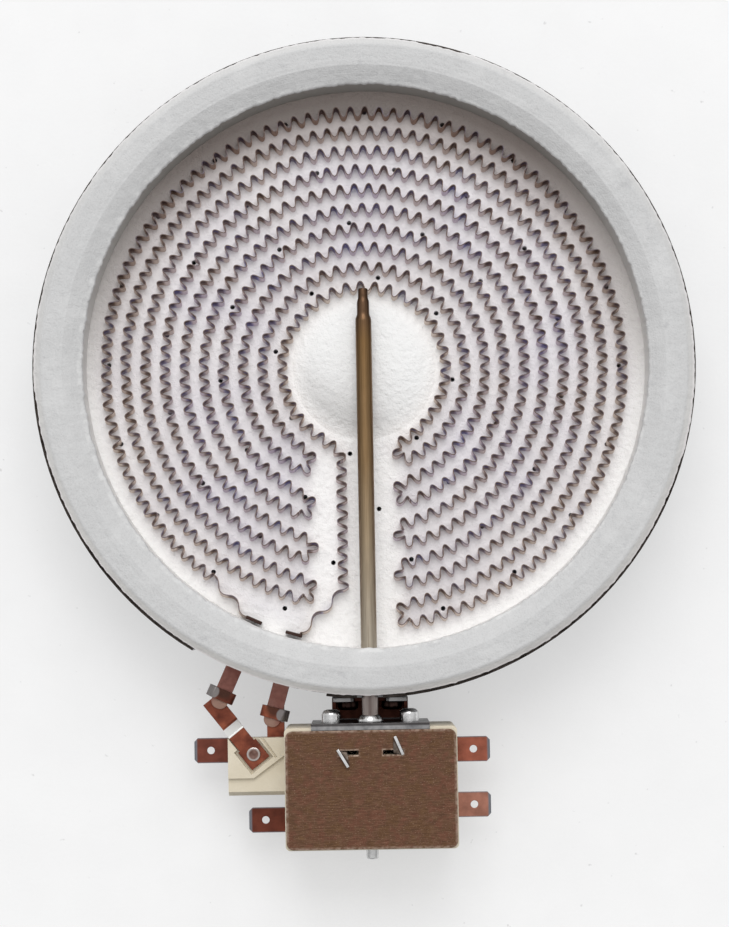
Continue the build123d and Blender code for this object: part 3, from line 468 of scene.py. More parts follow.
# The wave swings to either side of the route; its height and place wander a little,
# as a machine leaves it
line = []
phase = 0.0
gone = 0.0
for (length, place), (half_wave, wave_height) in route:
    steps = max(2, round(length / half_wave * STEPS_PER_HALF_WAVE))
    for step in range(steps):
        reach = length * step / steps
        point, side = place(min(max(reach - WAVE_ROUNDING * sin(2 * phase), 0), length))
        swing = wave_height * (1 + ripple(gone, SWELL)) * sin(phase)
        line.append(point + side * (swing + ripple(gone, WANDER)))
        phase += pi * length / half_wave / steps
        gone += length / steps
line.append(lead_b)
half = RIBBON_THICK / 2
section = [
    (half, RIBBON_BOTTOM),
    (half, RIBBON_TOP - RIBBON_EDGE),
    (half - RIBBON_EDGE, RIBBON_TOP),
    (RIBBON_EDGE - half, RIBBON_TOP),
    (-half, RIBBON_TOP - RIBBON_EDGE),
    (-half, RIBBON_BOTTOM),
]
ribbon_verts = []
ribbon_faces = []
inside_bend = []
sides = len(section)
for i, point in enumerate(line):
    onward = line[min(i + 1, len(line) - 1)] - point
    behind = point - line[max(i - 1, 0)]
    across = Vector((-onward.y - behind.y, onward.x + behind.x)).normalized()
    bow = max(min(across.dot(onward - behind) / BOW_AT_PEAK, 1), -1)
    lift = ripple(i, LIFT)
    for offset, z in section:
        spot = point + across * offset + RIBBON_LEAN * (z - RIBBON_TOP) / (RIBBON_TOP - RIBBON_BOTTOM)
        raised = lift if z > RIBBON_BOTTOM else 0
        ribbon_verts.append((spot.x * MM, spot.y * MM, (z + raised - RIBBON_SINK) * MM))
        inside_bend.append(0.5 + 0.5 * bow * (1 if offset > 0 else -1))
    if i:
        for j in range(sides):
            k = (j + 1) % sides
            ribbon_faces.append(((i - 1) * sides + j, (i - 1) * sides + k, i * sides + k, i * sides + j))
edge_faces = [j for j in range(len(ribbon_faces)) if j % sides in (1, 2, 3)]
ribbon_faces.append(tuple(range(sides)))
ribbon_faces.append(tuple(range(len(ribbon_verts) - 1, len(ribbon_verts) - 1 - sides, -1)))
alloy = finish("fired_alloy", (0.30, 0.22, 0.18), 0.42, 0.5)
tints = ramp(
    alloy,
    noise(alloy, 140, 3),
    [
        (0.30, (0.36, 0.245, 0.18)),
        (0.45, (0.48, 0.375, 0.30)),
        (0.55, (0.45, 0.385, 0.41)),
        (0.66, (0.36, 0.345, 0.50)),
    ],
)
scale_marks = ramp(alloy, noise(alloy, 1500, 3), [(0.35, (0.75, 0.72, 0.70)), (0.6, (1.0, 1.0, 1.0))])
fired = mix(alloy, 1.0, tints, scale_marks, "MULTIPLY")
# Painted shade and light: each face is painted dark where it is the inside of a bend, most near the top edge,
# and pale tan where it is the outside.
bends = alloy.node_tree.nodes.new("ShaderNodeAttribute")
bends.attribute_name = "inside_bend"
convex_painted_light = falling(alloy, bends.outputs["Fac"], (0.15, 0.5))
skin = mix(alloy, convex_painted_light, fired, (0.62, 0.53, 0.47))
concave_painted_shade = rising(alloy, bends.outputs["Fac"], (0.35, 0.75))
toward_edge = spread(alloy, place_on(alloy, "Z"), 0.15, 0.95, *BEND_SHADE_DEPTH)
bend_shade_colour = ramp(
    alloy,
    noise(alloy, 110, 2),
    [(0.42, (0.075, 0.044, 0.038)), (0.56, (0.085, 0.062, 0.085)), (0.64, (0.105, 0.095, 0.20))],
)
surface = mix(alloy, both(alloy, concave_painted_shade, toward_edge), skin, bend_shade_colour)
hottest = both(
    alloy, rising(alloy, from_axis(alloy), VIOLET_START), falling(alloy, from_axis(alloy), VIOLET_END)
)
violet = both(alloy, hottest, spread(alloy, noise(alloy, 75, 2), 0.25, 1.0, 0.38, 0.62))
surface = mix(alloy, violet, surface, (0.92, 0.94, 1.22), "MULTIPLY")
# Painted shade: the outer tracks on the far side are painted darker, where the ring's wall shades them.
outermost = both(alloy, rising(alloy, from_axis(alloy), OUTERMOST), on_shaded_far_side(alloy))
into(alloy, "Base Color", mix(alloy, outermost, surface, (0.50, 0.40, 0.36), "MULTIPLY"))
into(alloy, "Roughness", spread(alloy, noise(alloy, 700), 0.38, 0.6))
grain(alloy, noise(alloy, 3000, 2), 0.03 * MM)
burnt_edge = finish("burnt_edge", (0.05, 0.03, 0.028), 0.55, 0.3)
edge_shades = [(0.3, (0.15, 0.098, 0.078)), (0.5, (0.20, 0.148, 0.13)), (0.7, (0.20, 0.172, 0.215))]
mottle(burnt_edge, 260, edge_shades, 3)
ribbon = new_piece("heating_ribbon_waves", ribbon_verts, ribbon_faces, alloy, sharp=50)
ribbon.data.materials.append(burnt_edge)
ribbon.data.attributes.new("inside_bend", "FLOAT", "POINT").data.foreach_set("value", inside_bend)
for j in edge_faces:
    ribbon.data.polygons[j].material_index = 1
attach(ribbon, "base")
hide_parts("heating_ribbon")

# Lead strips: flat alloy strips welded to the ribbon's ends, browned by heat,
# that run out under the ring and through the dish's notch.
LEAD_ENDS = ((-37.7 * MM, -84.4 * MM), (-26.2 * MM, -89.1 * MM))
END_WEAR = (1.8 * MM, 3.4 * MM)
UNDER_RING = (72 * MM, 76 * MM)
dull_strip = finish("browned_strip", (0.16, 0.085, 0.065), 0.5, 0.8)
lead_brown = ramp(
    dull_strip,
    noise(dull_strip, 260, 4),
    [(0.3, (0.185, 0.068, 0.055)), (0.55, (0.245, 0.105, 0.085)), (0.75, (0.28, 0.14, 0.115))],
)
for lead_end in LEAD_ENDS:
    near_end = spread(dull_strip, from_axis(dull_strip, lead_end), 0.7, 0.0, *END_WEAR)
    lead_brown = mix(dull_strip, near_end, lead_brown, (0.33, 0.22, 0.17))
in_dish = falling(dull_strip, from_axis(dull_strip), UNDER_RING)
into(dull_strip, "Base Color", mix(dull_strip, in_dish, lead_brown, (0.045, 0.024, 0.019)))
into(dull_strip, "Roughness", spread(dull_strip, noise(dull_strip, 900), 0.4, 0.62))
grain(dull_strip, noise(dull_strip, 1800, 3), 0.03 * MM)
for node in ("lead_strip_a", "lead_strip_b"):
    wear(node, dull_strip, 0.12 * MM)


# Ring insulation: a light grey ring moulded from mineral board, chamfered inside
# and out, with faint rings from its mould and crumbling edges. Light and shade are painted on its inner wall
# and on the near side's outer chamfer.
def lathe(name, profile, made, turns, origin=(0, 0, 0), axis="Z"):
    """A turned piece from (radius, height) points in mm, round an axis along Z or Y.

    The section closes on itself if its ends aren't on the axis.
    """
    points = []
    shells = []
    closes = profile[0][0] > 0 and profile[-1][0] > 0
    for radius, rise in profile:
        if radius == 0:
            shells.append([len(points)])
            points.append((0, 0, rise))
            continue
        shells.append(list(range(len(points), len(points) + turns)))
        points += [(radius * cos(tau * t / turns), radius * sin(tau * t / turns), rise) for t in range(turns)]
    skins = []
    for low, high in zip(shells, shells[1:] + shells[:1] if closes else shells[1:]):
        for t in range(turns):
            n = (t + 1) % turns
            if len(low) == 1:
                skins.append((low[0], high[n], high[t]))
            elif len(high) == 1:
                skins.append((low[t], low[n], high[0]))
            else:
                skins.append((low[t], low[n], high[n], high[t]))
    lie = (lambda p: (p[0], p[2], -p[1])) if axis == "Y" else (lambda p: p)
    spots = [tuple((a + b) * MM for a, b in zip(lie(p), origin)) for p in points]
    return new_piece(name, spots, skins, made)


ROUND_STEPS = 5
MOST_OF_SIDE = 0.45


def rounded(corners):
    """A closed section from (radius, height, rounding) corners."""
    smooth = []
    count = len(corners)
    for i in range(count):
        *spot, rounding = corners[i]
        here = Vector(spot)
        back = Vector(corners[i - 1][:2]) - here
        on = Vector(corners[(i + 1) % count][:2]) - here
        reach = min(rounding, back.length * MOST_OF_SIDE, on.length * MOST_OF_SIDE)
        first = here + back.normalized() * reach
        last = here + on.normalized() * reach
        for step in range(ROUND_STEPS + 1):
            t = step / ROUND_STEPS
            smooth.append(tuple(first * (1 - t) ** 2 + here * 2 * t * (1 - t) + last * t**2))
    return smooth


RING_RADIUS = 81.7
RING_MOUTH = 70.2
RING_LIP_RADIUS = 82.12
RING_LIP_Z = 27.3
RING_BOTTOM_Z = 19.0
RING_TOP_Z = 31.0
RING_SECTION = [
    (RING_MOUTH, RING_BOTTOM_Z, 0.2),
    (RING_RADIUS, RING_BOTTOM_Z, 0.2),
    (RING_RADIUS, RING_LIP_Z, 0.05),
    (RING_LIP_RADIUS, RING_LIP_Z + 0.1, 0.1),
    (RING_LIP_RADIUS, 28.6, 0.4),
    (80.0, RING_TOP_Z, 0.5),
    (74.7, RING_TOP_Z, 0.3),
    (RING_MOUTH, 28.9, 0.6),
]
RING_TURNS = 720
RING_SHARP = 25
# The hole for the tube: its height, radius and reach
TUBE_Z = 25.0
BORE_RADIUS = 2.3
BORE_START = -90
BORE_END = -60
BORE_TURNS = 32
# Where the mouth's wall ends, inwards and upwards, and where its edge is chipped
WALL_RADIUS = (70.7 * MM, 71.0 * MM)
WALL_TOP = (28.1 * MM, 28.4 * MM)
CHIPPED_EDGE = (70.95 * MM, 71.4 * MM)
MOUTH_ZONE = 72.5 * MM
MOUTH_EDGE_Z = 28 * MM
# The outer chamfer and its lower edge on the near side, painted lighter as painted light
LIT_CHAMFER_FROM = (79.9 * MM, 80.6 * MM)
LOW_EDGE_Z = (29.0 * MM, 29.5 * MM)
LOW_EDGE_RADIUS = (80 * MM, 81 * MM)
NEAR_SIDE = (-45 * MM, 25 * MM)
# How far the ring's mouth is off centre
MOUTH_OFFSET = 0.4
# Stretches of the rim that the ring's lip leaves bare: start and end in degrees, and how bare
BARE_RIM = ((71, 80, 1.0), (183, 300, 1.0), (296, 344, 0.5))
BARE_FADE = 2
LIP_INSET = 0.05
MOULD_LINES = 1300
ring_board = finish("ring_board", (0.54, 0.54, 0.54), 0.92)
circles = ring_board.node_tree.nodes.new("ShaderNodeTexNoise")
circles.noise_dimensions = "1D"
circles.inputs["Scale"].default_value = MOULD_LINES
circles.inputs["Detail"].default_value = 4
ring_board.node_tree.links.new(from_axis(ring_board), circles.inputs["W"])
ring_flecks = noise(ring_board, 2600, 3)
smudges = noise(ring_board, 110, 3)
moulded = ramp(
    ring_board,
    ring_flecks,
    [(0.28, (0.48, 0.48, 0.48)), (0.45, (0.54, 0.541, 0.543)), (0.72, (0.58, 0.581, 0.583))],
)
lined = mix(ring_board, spread(ring_board, circles.outputs["Fac"], 0.0, 0.26), moulded, (0.50, 0.50, 0.50))
dusty = mix(ring_board, spread(ring_board, smudges, 0.0, 0.5, 0.48, 0.72), lined, (0.64, 0.64, 0.64))
below_edge = falling(ring_board, place_on(ring_board, "Z"), WALL_TOP)
on_wall = both(ring_board, below_edge, falling(ring_board, from_axis(ring_board), WALL_RADIUS))
on_edge = falling(ring_board, from_axis(ring_board), CHIPPED_EDGE)
chips = spread(ring_board, noise(ring_board, 500, 3), 0.0, 0.5, 0.42, 0.62)
edged = mix(ring_board, both(ring_board, on_edge, chips), dusty, (0.72, 0.72, 0.715))
scuffs = spread(ring_board, noise(ring_board, 190, 4, rough=0.7), 0.0, 0.4, 0.62, 0.70)
edged = mix(ring_board, scuffs, edged, (0.40, 0.40, 0.41))
# Painted light: on the near side, which the lamp leaves darker, the outer chamfer and its lower edge are
# painted lighter and warmer.
near_side = spread(ring_board, place_on(ring_board, "Y"), 1.0, 0.25, *NEAR_SIDE)
chamfer_painted_light = spread(ring_board, from_axis(ring_board), 0.0, 0.9, *LIT_CHAMFER_FROM)
edged = mix(ring_board, both(ring_board, chamfer_painted_light, near_side), edged, (0.76, 0.745, 0.725))
low_edge = spread(ring_board, place_on(ring_board, "Z"), 0.9, 0.0, *LOW_EDGE_Z)
lip_edge_painted_light = both(ring_board, low_edge, rising(ring_board, from_axis(ring_board), LOW_EDGE_RADIUS))
edged = mix(ring_board, both(ring_board, lip_edge_painted_light, near_side), edged, (0.93, 0.89, 0.885))
# Painted light and shade: the inner wall is painted pale on the near side and dark on the far side, the side
# turned from the lamp.
wall_lit_and_shaded = mix(ring_board, on_shaded_far_side(ring_board), (0.80, 0.795, 0.785), (0.34, 0.325, 0.305))
into(ring_board, "Base Color", mix(ring_board, on_wall, edged, wall_lit_and_shaded))
grain(ring_board, circles.outputs["Fac"], 0.07 * MM)
grain(ring_board, ring_flecks, 0.12 * MM)
grain(ring_board, noise(ring_board, 420, 3), 0.3 * MM)
ring = lathe("ring_board_moulded", rounded(RING_SECTION), ring_board, RING_TURNS)
drill_profile = [(0, BORE_START), (BORE_RADIUS, BORE_START), (BORE_RADIUS, BORE_END), (0, BORE_END)]
drill = lathe("drill", drill_profile, ring_board, BORE_TURNS, (0, 0, TUBE_Z), "Y")
bore = ring.modifiers.new("bore", "BOOLEAN")
bore.operation = "DIFFERENCE"
bore.solver = "EXACT"
bore.object = drill
bpy.context.view_layer.update()
bored = bpy.data.meshes.new_from_object(ring.evaluated_get(bpy.context.evaluated_depsgraph_get()))
ring.modifiers.clear()
ring.data = bored
bpy.data.objects.remove(drill)
# The edges wander a little from round, and crumble in short runs
for vertex in ring.data.vertices:
    spot = Vector((vertex.co.x, vertex.co.y))
    angle = degrees(atan2(spot.y, spot.x)) % 360
    turn = radians(angle)
    wobble = 0.06 * sin(5 * turn) + 0.05 * sin(13 * turn + 1)
    wobble += 0.05 * sin(47 * turn) * sin(6 * turn) + 0.04 * sin(97 * turn)
    crumble = 0.1 * sin(61 * turn) * sin(7 * turn) + 0.09 * sin(173 * turn + 2) * sin(11 * turn)
    crumble += 0.07 * sin(241 * turn)
    lip = max(spot.length / MM - RING_RADIUS, 0) if vertex.co.z > RING_LIP_Z * MM else 0
    if lip:
        bare = 0
        for start, end, share in BARE_RIM:
            bare = max(bare, share * min((angle - start) / BARE_FADE, (end - angle) / BARE_FADE, 1))
        spot *= 1 - (bare * lip + 0.5 * wobble + 0.8 * crumble + LIP_INSET) * MM / spot.length
    elif spot.length < MOUTH_ZONE:
        spot *= 1 + (wobble + crumble if vertex.co.z > MOUTH_EDGE_Z else 0.5 * wobble) * MM / spot.length
        spot.x += MOUTH_OFFSET * MM
    vertex.co.x, vertex.co.y = spot
ring.data.set_sharp_from_angle(angle=radians(RING_SHARP))
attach(ring, "base")
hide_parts("ring_insulation")

# Sensing tube: thin drawn tube, closed and necked down in two steps at its tip.
# Heat has turned it bronze over the ribbon; outside the ring it is grey, with a dark streak.
TUBE_TURNS = 48
TUBE_HEAT = (-95 * MM, 20 * MM)
OUT_OF_RING = (-82 * MM, -80 * MM)
STREAK = (0.2 * MM, 1.2 * MM)
# (radius, place along the tube), from its open end to its tip
TUBE_PROFILE = [
    (1.45, -91.5), (2.0, -91.5), (2.0, 11.2), (1.97, 11.7), (1.85, 12.2), (1.66, 12.6),
    (1.56, 13.0), (1.53, 13.6), (1.53, 15.9), (1.46, 16.3), (1.32, 16.7), (1.22, 17.0),
    (1.2, 17.5), (1.2, 19.1), (1.1, 19.4), (0.85, 19.5), (0, 19.5),
]
tube_metal = finish("tinted_tube", (0.2, 0.14, 0.08), 0.3, 1.0)
heat = rising(tube_metal, place_on(tube_metal, "Y"), TUBE_HEAT)
tube_tint = ramp(
    tube_metal,
    heat,
    [
        (0.00, (0.36, 0.31, 0.29)),
        (0.12, (0.38, 0.33, 0.31)),
        (0.16, (0.46, 0.42, 0.37)),
        (0.22, (0.42, 0.37, 0.30)),
        (0.45, (0.33, 0.255, 0.168)),
        (0.62, (0.245, 0.160, 0.083)),
        (0.88, (0.19, 0.112, 0.050)),
        (0.94, (0.13, 0.076, 0.045)),
        (1.00, (0.09, 0.052, 0.032)),
    ],
)
draw_lines = noise(tube_metal, 900, 3, (6, 0.12, 6))
streaks = ramp(tube_metal, draw_lines, [(0.3, (0.72, 0.70, 0.68)), (0.65, (1, 1, 1))])
drawn = mix(tube_metal, 1.0, tube_tint, streaks, "MULTIPLY")
outside = falling(tube_metal, place_on(tube_metal, "Y"), OUT_OF_RING)
off_ridge = maths(tube_metal, "ABSOLUTE", place_on(tube_metal, "X"))
dark_streak = both(tube_metal, outside, spread(tube_metal, off_ridge, 0.7, 0.0, *STREAK))
into(tube_metal, "Base Color", mix(tube_metal, dark_streak, drawn, (0.06, 0.04, 0.036)))
into(tube_metal, "Roughness", spread(tube_metal, noise(tube_metal, 500), 0.30, 0.48))
grain(tube_metal, draw_lines, 0.02 * MM)
tube = lathe("sensing_tube_drawn", TUBE_PROFILE, tube_metal, TUBE_TURNS, (0, 0, TUBE_Z), "Y")
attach(tube, "base")
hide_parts("sensor_tube")

# Bracket: a channel bent from steel sheet, screwed to the dish's wall and carrying the
# limiter. Heat has browned its two tabs, and painted shade darkens them and the channel's floor almost to
# black; the flange at the housing is still grey, with a painted shadow in its fold.
FLANGE_Y = -88.3 * MM
BROWN_FROM = (FLANGE_Y, FLANGE_Y + 0.2 * MM)
FOLD_SHADOW_Y = (FLANGE_Y - 1.0 * MM, FLANGE_Y - 0.7 * MM)
TAB_TOP_Z = 20 * MM
CUT_EDGE_Z = (TAB_TOP_Z - 0.5 * MM, TAB_TOP_Z - 0.3 * MM)
rolled_steel = finish("rolled_steel", (0.30, 0.30, 0.30), 0.35, 1.0)
rolled_grey = ramp(
    rolled_steel, noise(rolled_steel, 500, 4), [(0.3, (0.15, 0.15, 0.155)), (0.7, (0.34, 0.335, 0.335))]
)
# Beyond the flange the sheet is painted almost black: heat brown, and painted shade deep in the channel.
heat_brown_and_shade = ramp(
    rolled_steel, noise(rolled_steel, 260, 4), [(0.3, (0.012, 0.005, 0.004)), (0.7, (0.055, 0.019, 0.013))]
)
browned_and_shaded = rising(rolled_steel, place_on(rolled_steel, "Y"), BROWN_FROM)
# Painted shadow: the upper half of the fold over the housing's wall is painted near-black.
fold_shadow = spread(rolled_steel, place_on(rolled_steel, "Y"), 0.0, 0.85, *FOLD_SHADOW_Y)
with_fold_shadow = mix(rolled_steel, fold_shadow, rolled_grey, (0.045, 0.04, 0.04))
sheet_tone = mix(rolled_steel, browned_and_shaded, with_fold_shadow, heat_brown_and_shade)
cut_edge = rising(rolled_steel, place_on(rolled_steel, "Z"), CUT_EDGE_Z)
tab_edge = both(rolled_steel, cut_edge, browned_and_shaded)
into(rolled_steel, "Base Color", mix(rolled_steel, tab_edge, sheet_tone, (0.28, 0.275, 0.275)))
into(rolled_steel, "Roughness", spread(rolled_steel, noise(rolled_steel, 300), 0.25, 0.45))
wear("bracket", rolled_steel, 0.2 * MM)

# Tube collar and housing screws: the collar is a flared ferrule that holds the tube to
# the bracket, and the screws hold the housing to it. All are bright plated steel.
plate = finish("bright_plate", (0.66, 0.66, 0.66), 0.2, 1.0)
mottle(plate, 700, [(0.3, (0.52, 0.52, 0.52)), (0.65, (0.72, 0.72, 0.72))])
into(plate, "Roughness", spread(plate, noise(plate, 900), 0.14, 0.32))
grain(plate, noise(plate, 2500, 2), 0.02 * MM)
for node in ("tube_collar", "housing_screws"):
    wear(node, plate, 0.12 * MM)

# Dish screws: two domed steel screws through the bracket's tabs into the dish's wall,
# turned dark brown by the heat and painted darker still as shade in the channel.
dark_screw = finish("dark_screw", (0.07, 0.05, 0.045), 0.3, 1.0)
mottle(dark_screw, 600, [(0.3, (0.016, 0.009, 0.008)), (0.7, (0.05, 0.028, 0.023))], 3)
wear("dish_screws", dark_screw, 0.1 * MM)

# Limiter housing: a box of cream unglazed steatite, pressed and fired, open at the
# top, with a side block that carries the neutral terminal.
steatite = finish("steatite", (0.60, 0.54, 0.42), 0.55)
cream_shades = [(0.3, (0.61, 0.545, 0.42)), (0.6, (0.665, 0.60, 0.475)), (0.8, (0.70, 0.64, 0.53))]
mottle(steatite, 160, cream_shades)
into(steatite, "Roughness", spread(steatite, noise(steatite, 800), 0.45, 0.7))
grain(steatite, noise(steatite, 2200, 3), 0.05 * MM)
wear("limiter_housing", steatite, 0.35 * MM)


# Limiter cover: a stamped sheet of brown mica board with fine lines along it, frayed
# pale at its edges and round its two slots, and held by two twisted lugs.
COVER_HALF = (21.05 * MM, 14.525 * MM)
COVER_MIDDLE_Y = -104.725 * MM
SLOT_HALF = (2.4 * MM, 0.55 * MM)
SLOT_PLACES = ((-5.5 * MM, -95.7 * MM), (5.5 * MM, -95.7 * MM))
EDGE_FRAY = (-0.75 * MM, -0.05 * MM)
SLOT_FRAY = (0.15 * MM, 0.5 * MM)


def beyond(made, centre, half):
    """How far a point is outside an upright box, or less than nothing inside it, in metres."""
    gaps = []
    for axis, at, reach in zip("XY", centre, half):
        off_centre = maths(made, "ABSOLUTE", maths(made, "SUBTRACT", place_on(made, axis), at))
        gaps.append(maths(made, "SUBTRACT", off_centre, reach))
    return maths(made, "MAXIMUM", *gaps)


mica = finish("mica_board", (0.12, 0.066, 0.038), 0.6)
mica.node_tree.nodes["Principled BSDF"].inputs["Specular IOR Level"].default_value = 0.2
fibres = noise(mica, 2900, 3, (0.15, 1.0, 1.0))
flecks = noise(mica, 4200, 2, (0.6, 1.0, 1.0))
threads = ramp(
    mica, fibres, [(0.32, (0.078, 0.035, 0.017)), (0.5, (0.106, 0.050, 0.026)), (0.68, (0.142, 0.074, 0.042))]
)
blotches = ramp(
    mica, noise(mica, 380, 4), [(0.38, (0.97, 0.97, 0.82)), (0.5, (1.0, 1.0, 1.0)), (0.62, (1.12, 0.95, 1.0))]
)
blotched = mix(mica, 1.0, threads, blotches, "MULTIPLY")
sheet_brown = mix(mica, spread(mica, flecks, 0.0, 0.6, 0.60, 0.72), blotched, (0.32, 0.21, 0.145))
frayed = spread(mica, beyond(mica, (0, COVER_MIDDLE_Y), COVER_HALF), 0.0, 0.75, *EDGE_FRAY)
for slot_place in SLOT_PLACES:
    round_slot = falling(mica, beyond(mica, slot_place, SLOT_HALF), SLOT_FRAY)
    frayed = maths(mica, "MAXIMUM", frayed, round_slot)
frayed = both(mica, frayed, spread(mica, noise(mica, 900, 3), 0.1, 1.0, 0.38, 0.6))
into(mica, "Base Color", mix(mica, frayed, sheet_brown, (0.40, 0.30, 0.235)))
into(mica, "Roughness", spread(mica, fibres, 0.5, 0.7))
grain(mica, fibres, 0.05 * MM)
wear("limiter_cover", mica, 0.2 * MM)

# Cover lugs: two plated steel strips that stand up through the cover's slots, twisted with
# pliers so that each swings round one of its edges and grips the cover. Their side faces get a darker brown
# finish than their tops, as painted shade.
LUG_FOOT_Z = 22.0
LUG_NECK_Z = 29.8
LUG_TOP_Z = 31.0
LUG_THICK = 0.75
LUG_STEPS = 10
LUG_EDGE = 0.1 * MM
LUG_SHARP_OVER = 50
FACES_UP = 0.9
# The edge that stays, the edge that swings, and where each ends up
LUG_TWISTS = (
    ((-7.7, -95.7), (-8.2, -94.8), (-5.9, -95.7), (-5.6, -99.2)),
    ((7.4, -95.7), (7.9, -96.3), (5.6, -95.7), (5.95, -91.7)),
)
lug_verts = []
lug_faces = []
for held_low, held_high, swung_low, swung_high in LUG_TWISTS:
    start = len(lug_verts)
    for step in range(LUG_STEPS + 1):
        t = step / LUG_STEPS
        ease = t * t * (3 - 2 * t)
        held = Vector(held_low).lerp(Vector(held_high), ease)
        swung = Vector(swung_low).lerp(Vector(swung_high), ease)
        across = swung - held
        skin = Vector((-across.y, across.x)).normalized() * LUG_THICK / 2
        z = (LUG_NECK_Z + (LUG_TOP_Z - LUG_NECK_Z) * t if step else LUG_FOOT_Z) * MM
        for spot in (held + skin, held - skin, swung - skin, swung + skin):
            lug_verts.append((spot.x * MM, spot.y * MM, z))
        if step:
            for j in range(4):
                low = start + (step - 1) * 4
                lug_faces.append((low + j, low + (j + 1) % 4, low + 4 + (j + 1) % 4, low + 4 + j))
    lug_faces.append(tuple(start + j for j in (3, 2, 1, 0)))
    lug_faces.append(tuple(start + LUG_STEPS * 4 + j for j in range(4)))
lugs = new_piece("cover_lugs_twisted", lug_verts, lug_faces, plate, sharp=35)
# Painted shade: faces that don't point up are painted dark brown, and the tops keep the bright plate.
lug_shaded_face = finish("lug_shaded_face", (0.24, 0.19, 0.155), 0.38, 1.0)
mottle(lug_shaded_face, 900, [(0.3, (0.15, 0.11, 0.085)), (0.7, (0.34, 0.29, 0.25))], 3)
lugs.data.materials.append(lug_shaded_face)
for panel in lugs.data.polygons:
    panel.material_index = 0 if panel.normal.z > FACES_UP else 1
lug_edges = lugs.modifiers.new("lug_edges", "BEVEL")
lug_edges.width = LUG_EDGE
lug_edges.segments = 2
lug_edges.limit_method = "ANGLE"
lug_edges.angle_limit = radians(LUG_SHARP_OVER)
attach(lugs, "base")
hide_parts("cover_lugs")

# Terminals: four push-on tabs stamped from copper-brown strip, worn to grey at
# their bevelled tips and edges. Each has its own shade of brown.
TAB_HALF_WIDTH = 3.15 * MM
TAB_TIP_WEAR = (0.9 * MM, 0.5 * MM)
TAB_SIDE_WEAR = (0.3 * MM, 0.1 * MM)
TAB_SHADES = ((0.3, 0.72), (0.5, 1.0), (0.72, 1.3))
WORN_GREY = (0.17, 0.175, 0.195)


def stamped_tab(node, tone, tip_x, tab_y):
    """Gives a terminal its own copper brown, with grey along the tip and the sides of its tab."""
    made = finish(node + "_strip", tone, 0.42, 0.8)
    shades = [(place, tuple(c * level for c in tone)) for place, level in TAB_SHADES]
    brown = ramp(made, noise(made, 300, 4), shades)
    outward = maths(made, "ABSOLUTE", place_on(made, "X"))
    tip = rising(made, outward, [abs(tip_x) * MM - wear_depth for wear_depth in TAB_TIP_WEAR])
    off_middle = maths(made, "ABSOLUTE", maths(made, "SUBTRACT", place_on(made, "Y"), tab_y * MM))
    side = spread(made, off_middle, 0.0, 0.8, *(TAB_HALF_WIDTH - wear_depth for wear_depth in TAB_SIDE_WEAR))
    worn = maths(made, "MAXIMUM", tip, side)
    into(made, "Base Color", mix(made, worn, brown, WORN_GREY))
    into(made, "Roughness", spread(made, noise(made, 700), 0.34, 0.52))
    grain(made, noise(made, 2200, 3, (0.3, 1, 1)), 0.02 * MM)
    wear(node, made, 0.12 * MM)


stamped_tab("signal_fixed_terminal", (0.305, 0.094, 0.058), 30.1, -96.2)
stamped_tab("signal_blade_terminal", (0.345, 0.153, 0.108), 30.1, -110.1)
stamped_tab("line_terminal", (0.126, 0.033, 0.019), -31.0, -113.3)
stamped_tab("neutral_terminal", (0.150, 0.044, 0.029), -44.6, -95.6)

# Straps: two strips of the same copper brown that carry the current from the leads.
# Each is crimped round its lead, its rolled ear worn grey with a painted sheen, and one has a painted
# highlight on its bend.
STRAP_RIVET = Vector((-29.4, -96.4)) * MM
STRAP_ALONG = (Vector((-40.0, -83.0)) * MM - STRAP_RIVET).normalized()
HIGHLIGHT_FROM = (6.8 * MM, 6.9 * MM)
HIGHLIGHT_TO = (9.3 * MM, 9.4 * MM)
LEFT_OF_RIVET = (-30.0 * MM, -29.5 * MM)
CRIMPS = ((-36.6 * MM, -80.3 * MM), (-23.9 * MM, -84.9 * MM))
EARS = ((-39.6 * MM, -80.4 * MM), (-21.8 * MM, -86.9 * MM))
CRIMP_DARK = (1.6 * MM, 3.0 * MM)
EAR_GREY = (1.6 * MM, 1.9 * MM)
copper = finish("copper_strip", (0.26, 0.10, 0.075), 0.4, 0.8)
strap_brown = ramp(
    copper,
    noise(copper, 240, 4),
    [(0.3, (0.09, 0.022, 0.013)), (0.5, (0.185, 0.050, 0.028)), (0.72, (0.31, 0.092, 0.048))],
)
for crimp in CRIMPS:
    near_crimp = spread(copper, from_axis(copper, crimp), 0.85, 0.0, *CRIMP_DARK)
    strap_brown = mix(copper, near_crimp, strap_brown, (0.055, 0.024, 0.016))
# The rolled ears are painted grey: wear, with a painted sheen on the roll.
for ear in EARS:
    ear_wear_and_sheen = falling(copper, from_axis(copper, ear), EAR_GREY)
    strap_brown = mix(copper, ear_wear_and_sheen, strap_brown, (0.22, 0.20, 0.195))
# Painted highlight: a near-white band across strap A's bend.
east = both(copper, maths(copper, "SUBTRACT", place_on(copper, "X"), STRAP_RIVET.x), STRAP_ALONG.x)
north = both(copper, maths(copper, "SUBTRACT", place_on(copper, "Y"), STRAP_RIVET.y), STRAP_ALONG.y)
along_strap = maths(copper, "ADD", east, north)
on_bend = both(copper, rising(copper, along_strap, HIGHLIGHT_FROM), falling(copper, along_strap, HIGHLIGHT_TO))
bright = both(copper, on_bend, falling(copper, place_on(copper, "X"), LEFT_OF_RIVET))
into(copper, "Base Color", mix(copper, bright, strap_brown, (0.88, 0.885, 0.86)))
into(copper, "Roughness", spread(copper, noise(copper, 700), 0.3, 0.5))
grain(copper, noise(copper, 2200, 3, (0.3, 1, 1)), 0.02 * MM)
for node in ("link_strap_a", "link_strap_b"):
    wear(node, copper, 0.32 * MM)

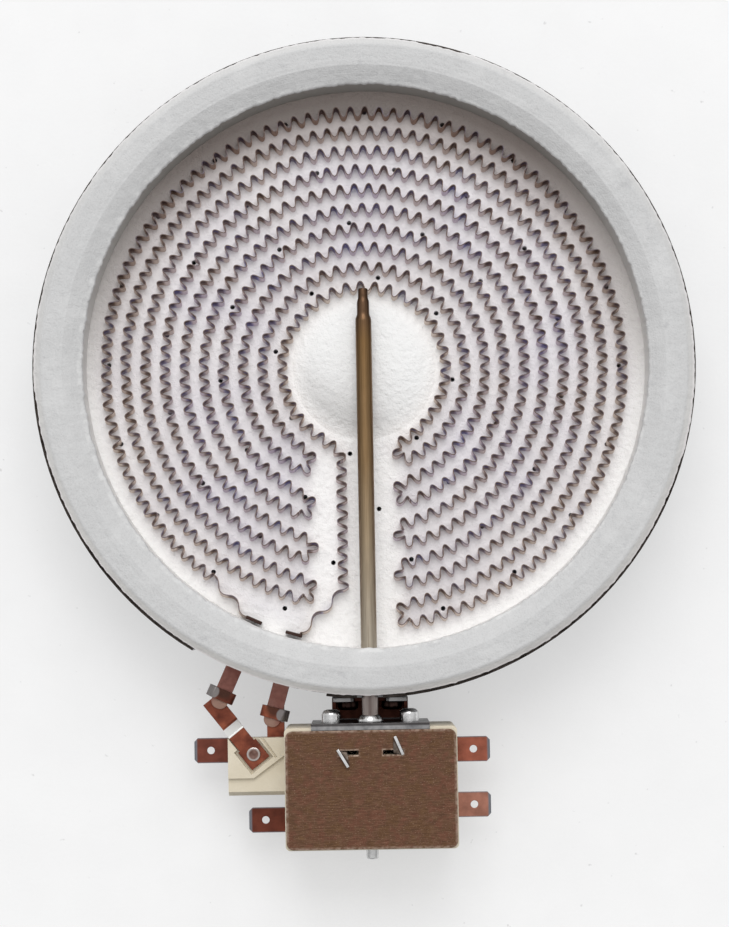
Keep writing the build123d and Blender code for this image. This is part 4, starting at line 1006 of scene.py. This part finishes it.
# Strap rivet: a steel rivet through one strap, the ceramic side block and the tab below.
# Its head is brown, with a rim worn light.
WORN_RIM = (1.05 * MM, 1.45 * MM)
rivet_metal = finish("rivet_metal", (0.30, 0.24, 0.22), 0.3, 1.0)
rivet_brown = ramp(
    rivet_metal, noise(rivet_metal, 900, 3), [(0.3, (0.10, 0.050, 0.040)), (0.7, (0.24, 0.145, 0.12))]
)
rivet_rim = rising(rivet_metal, from_axis(rivet_metal, STRAP_RIVET), WORN_RIM)
into(rivet_metal, "Base Color", mix(rivet_metal, rivet_rim, rivet_brown, (0.46, 0.42, 0.40)))
wear("strap_rivet", rivet_metal, 0.2 * MM)

# Push rod and transfer pin: plain sticks of fired white ceramic. The rod slides in the
# tube and bears on the first blade; the pin carries the push on to the second.
ceramic = finish("rod_ceramic", (0.66, 0.64, 0.58), 0.5)
mottle(ceramic, 600, [(0.3, (0.60, 0.58, 0.52)), (0.7, (0.70, 0.68, 0.62))])
for node in ("push_rod", "transfer_pin"):
    wear(node, ceramic)

# Switch blades: two flat springs cut from bronze strip, each welded to a riser at one
# end and carrying a contact at the other.
bronze = finish("spring_bronze", (0.45, 0.28, 0.14), 0.3, 1.0)
mottle(bronze, 500, [(0.3, (0.38, 0.23, 0.11)), (0.7, (0.52, 0.34, 0.18))])
for node in ("limit_blade", "signal_blade"):
    wear(node, bronze)

# Contacts: small silver buttons in two pairs, one of each pair on its blade and the
# other on a terminal inside the housing.
silver = finish("contact_silver", (0.7, 0.69, 0.67), 0.25, 1.0)
mottle(silver, 900, [(0.3, (0.60, 0.59, 0.57)), (0.7, (0.78, 0.77, 0.75))])
for pair in ("limit", "signal"):
    for place in ("moving", "fixed"):
        wear(f"{pair}_{place}_contact", silver)

# Calibration bush and screw: a turned brass bush in the housing's back wall, and the
# steel screw in it that sets the switch.
brass = finish("turned_brass", (0.55, 0.40, 0.16), 0.3, 1.0)
mottle(brass, 600, [(0.3, (0.46, 0.33, 0.12)), (0.7, (0.62, 0.46, 0.20))])
wear("calibration_bush", brass)
screw_steel = finish("screw_steel", (0.55, 0.55, 0.55), 0.25, 1.0)
mottle(screw_steel, 800, [(0.3, (0.46, 0.46, 0.46)), (0.7, (0.64, 0.64, 0.64))])
wear("calibration_screw", screw_steel, 0.1 * MM)
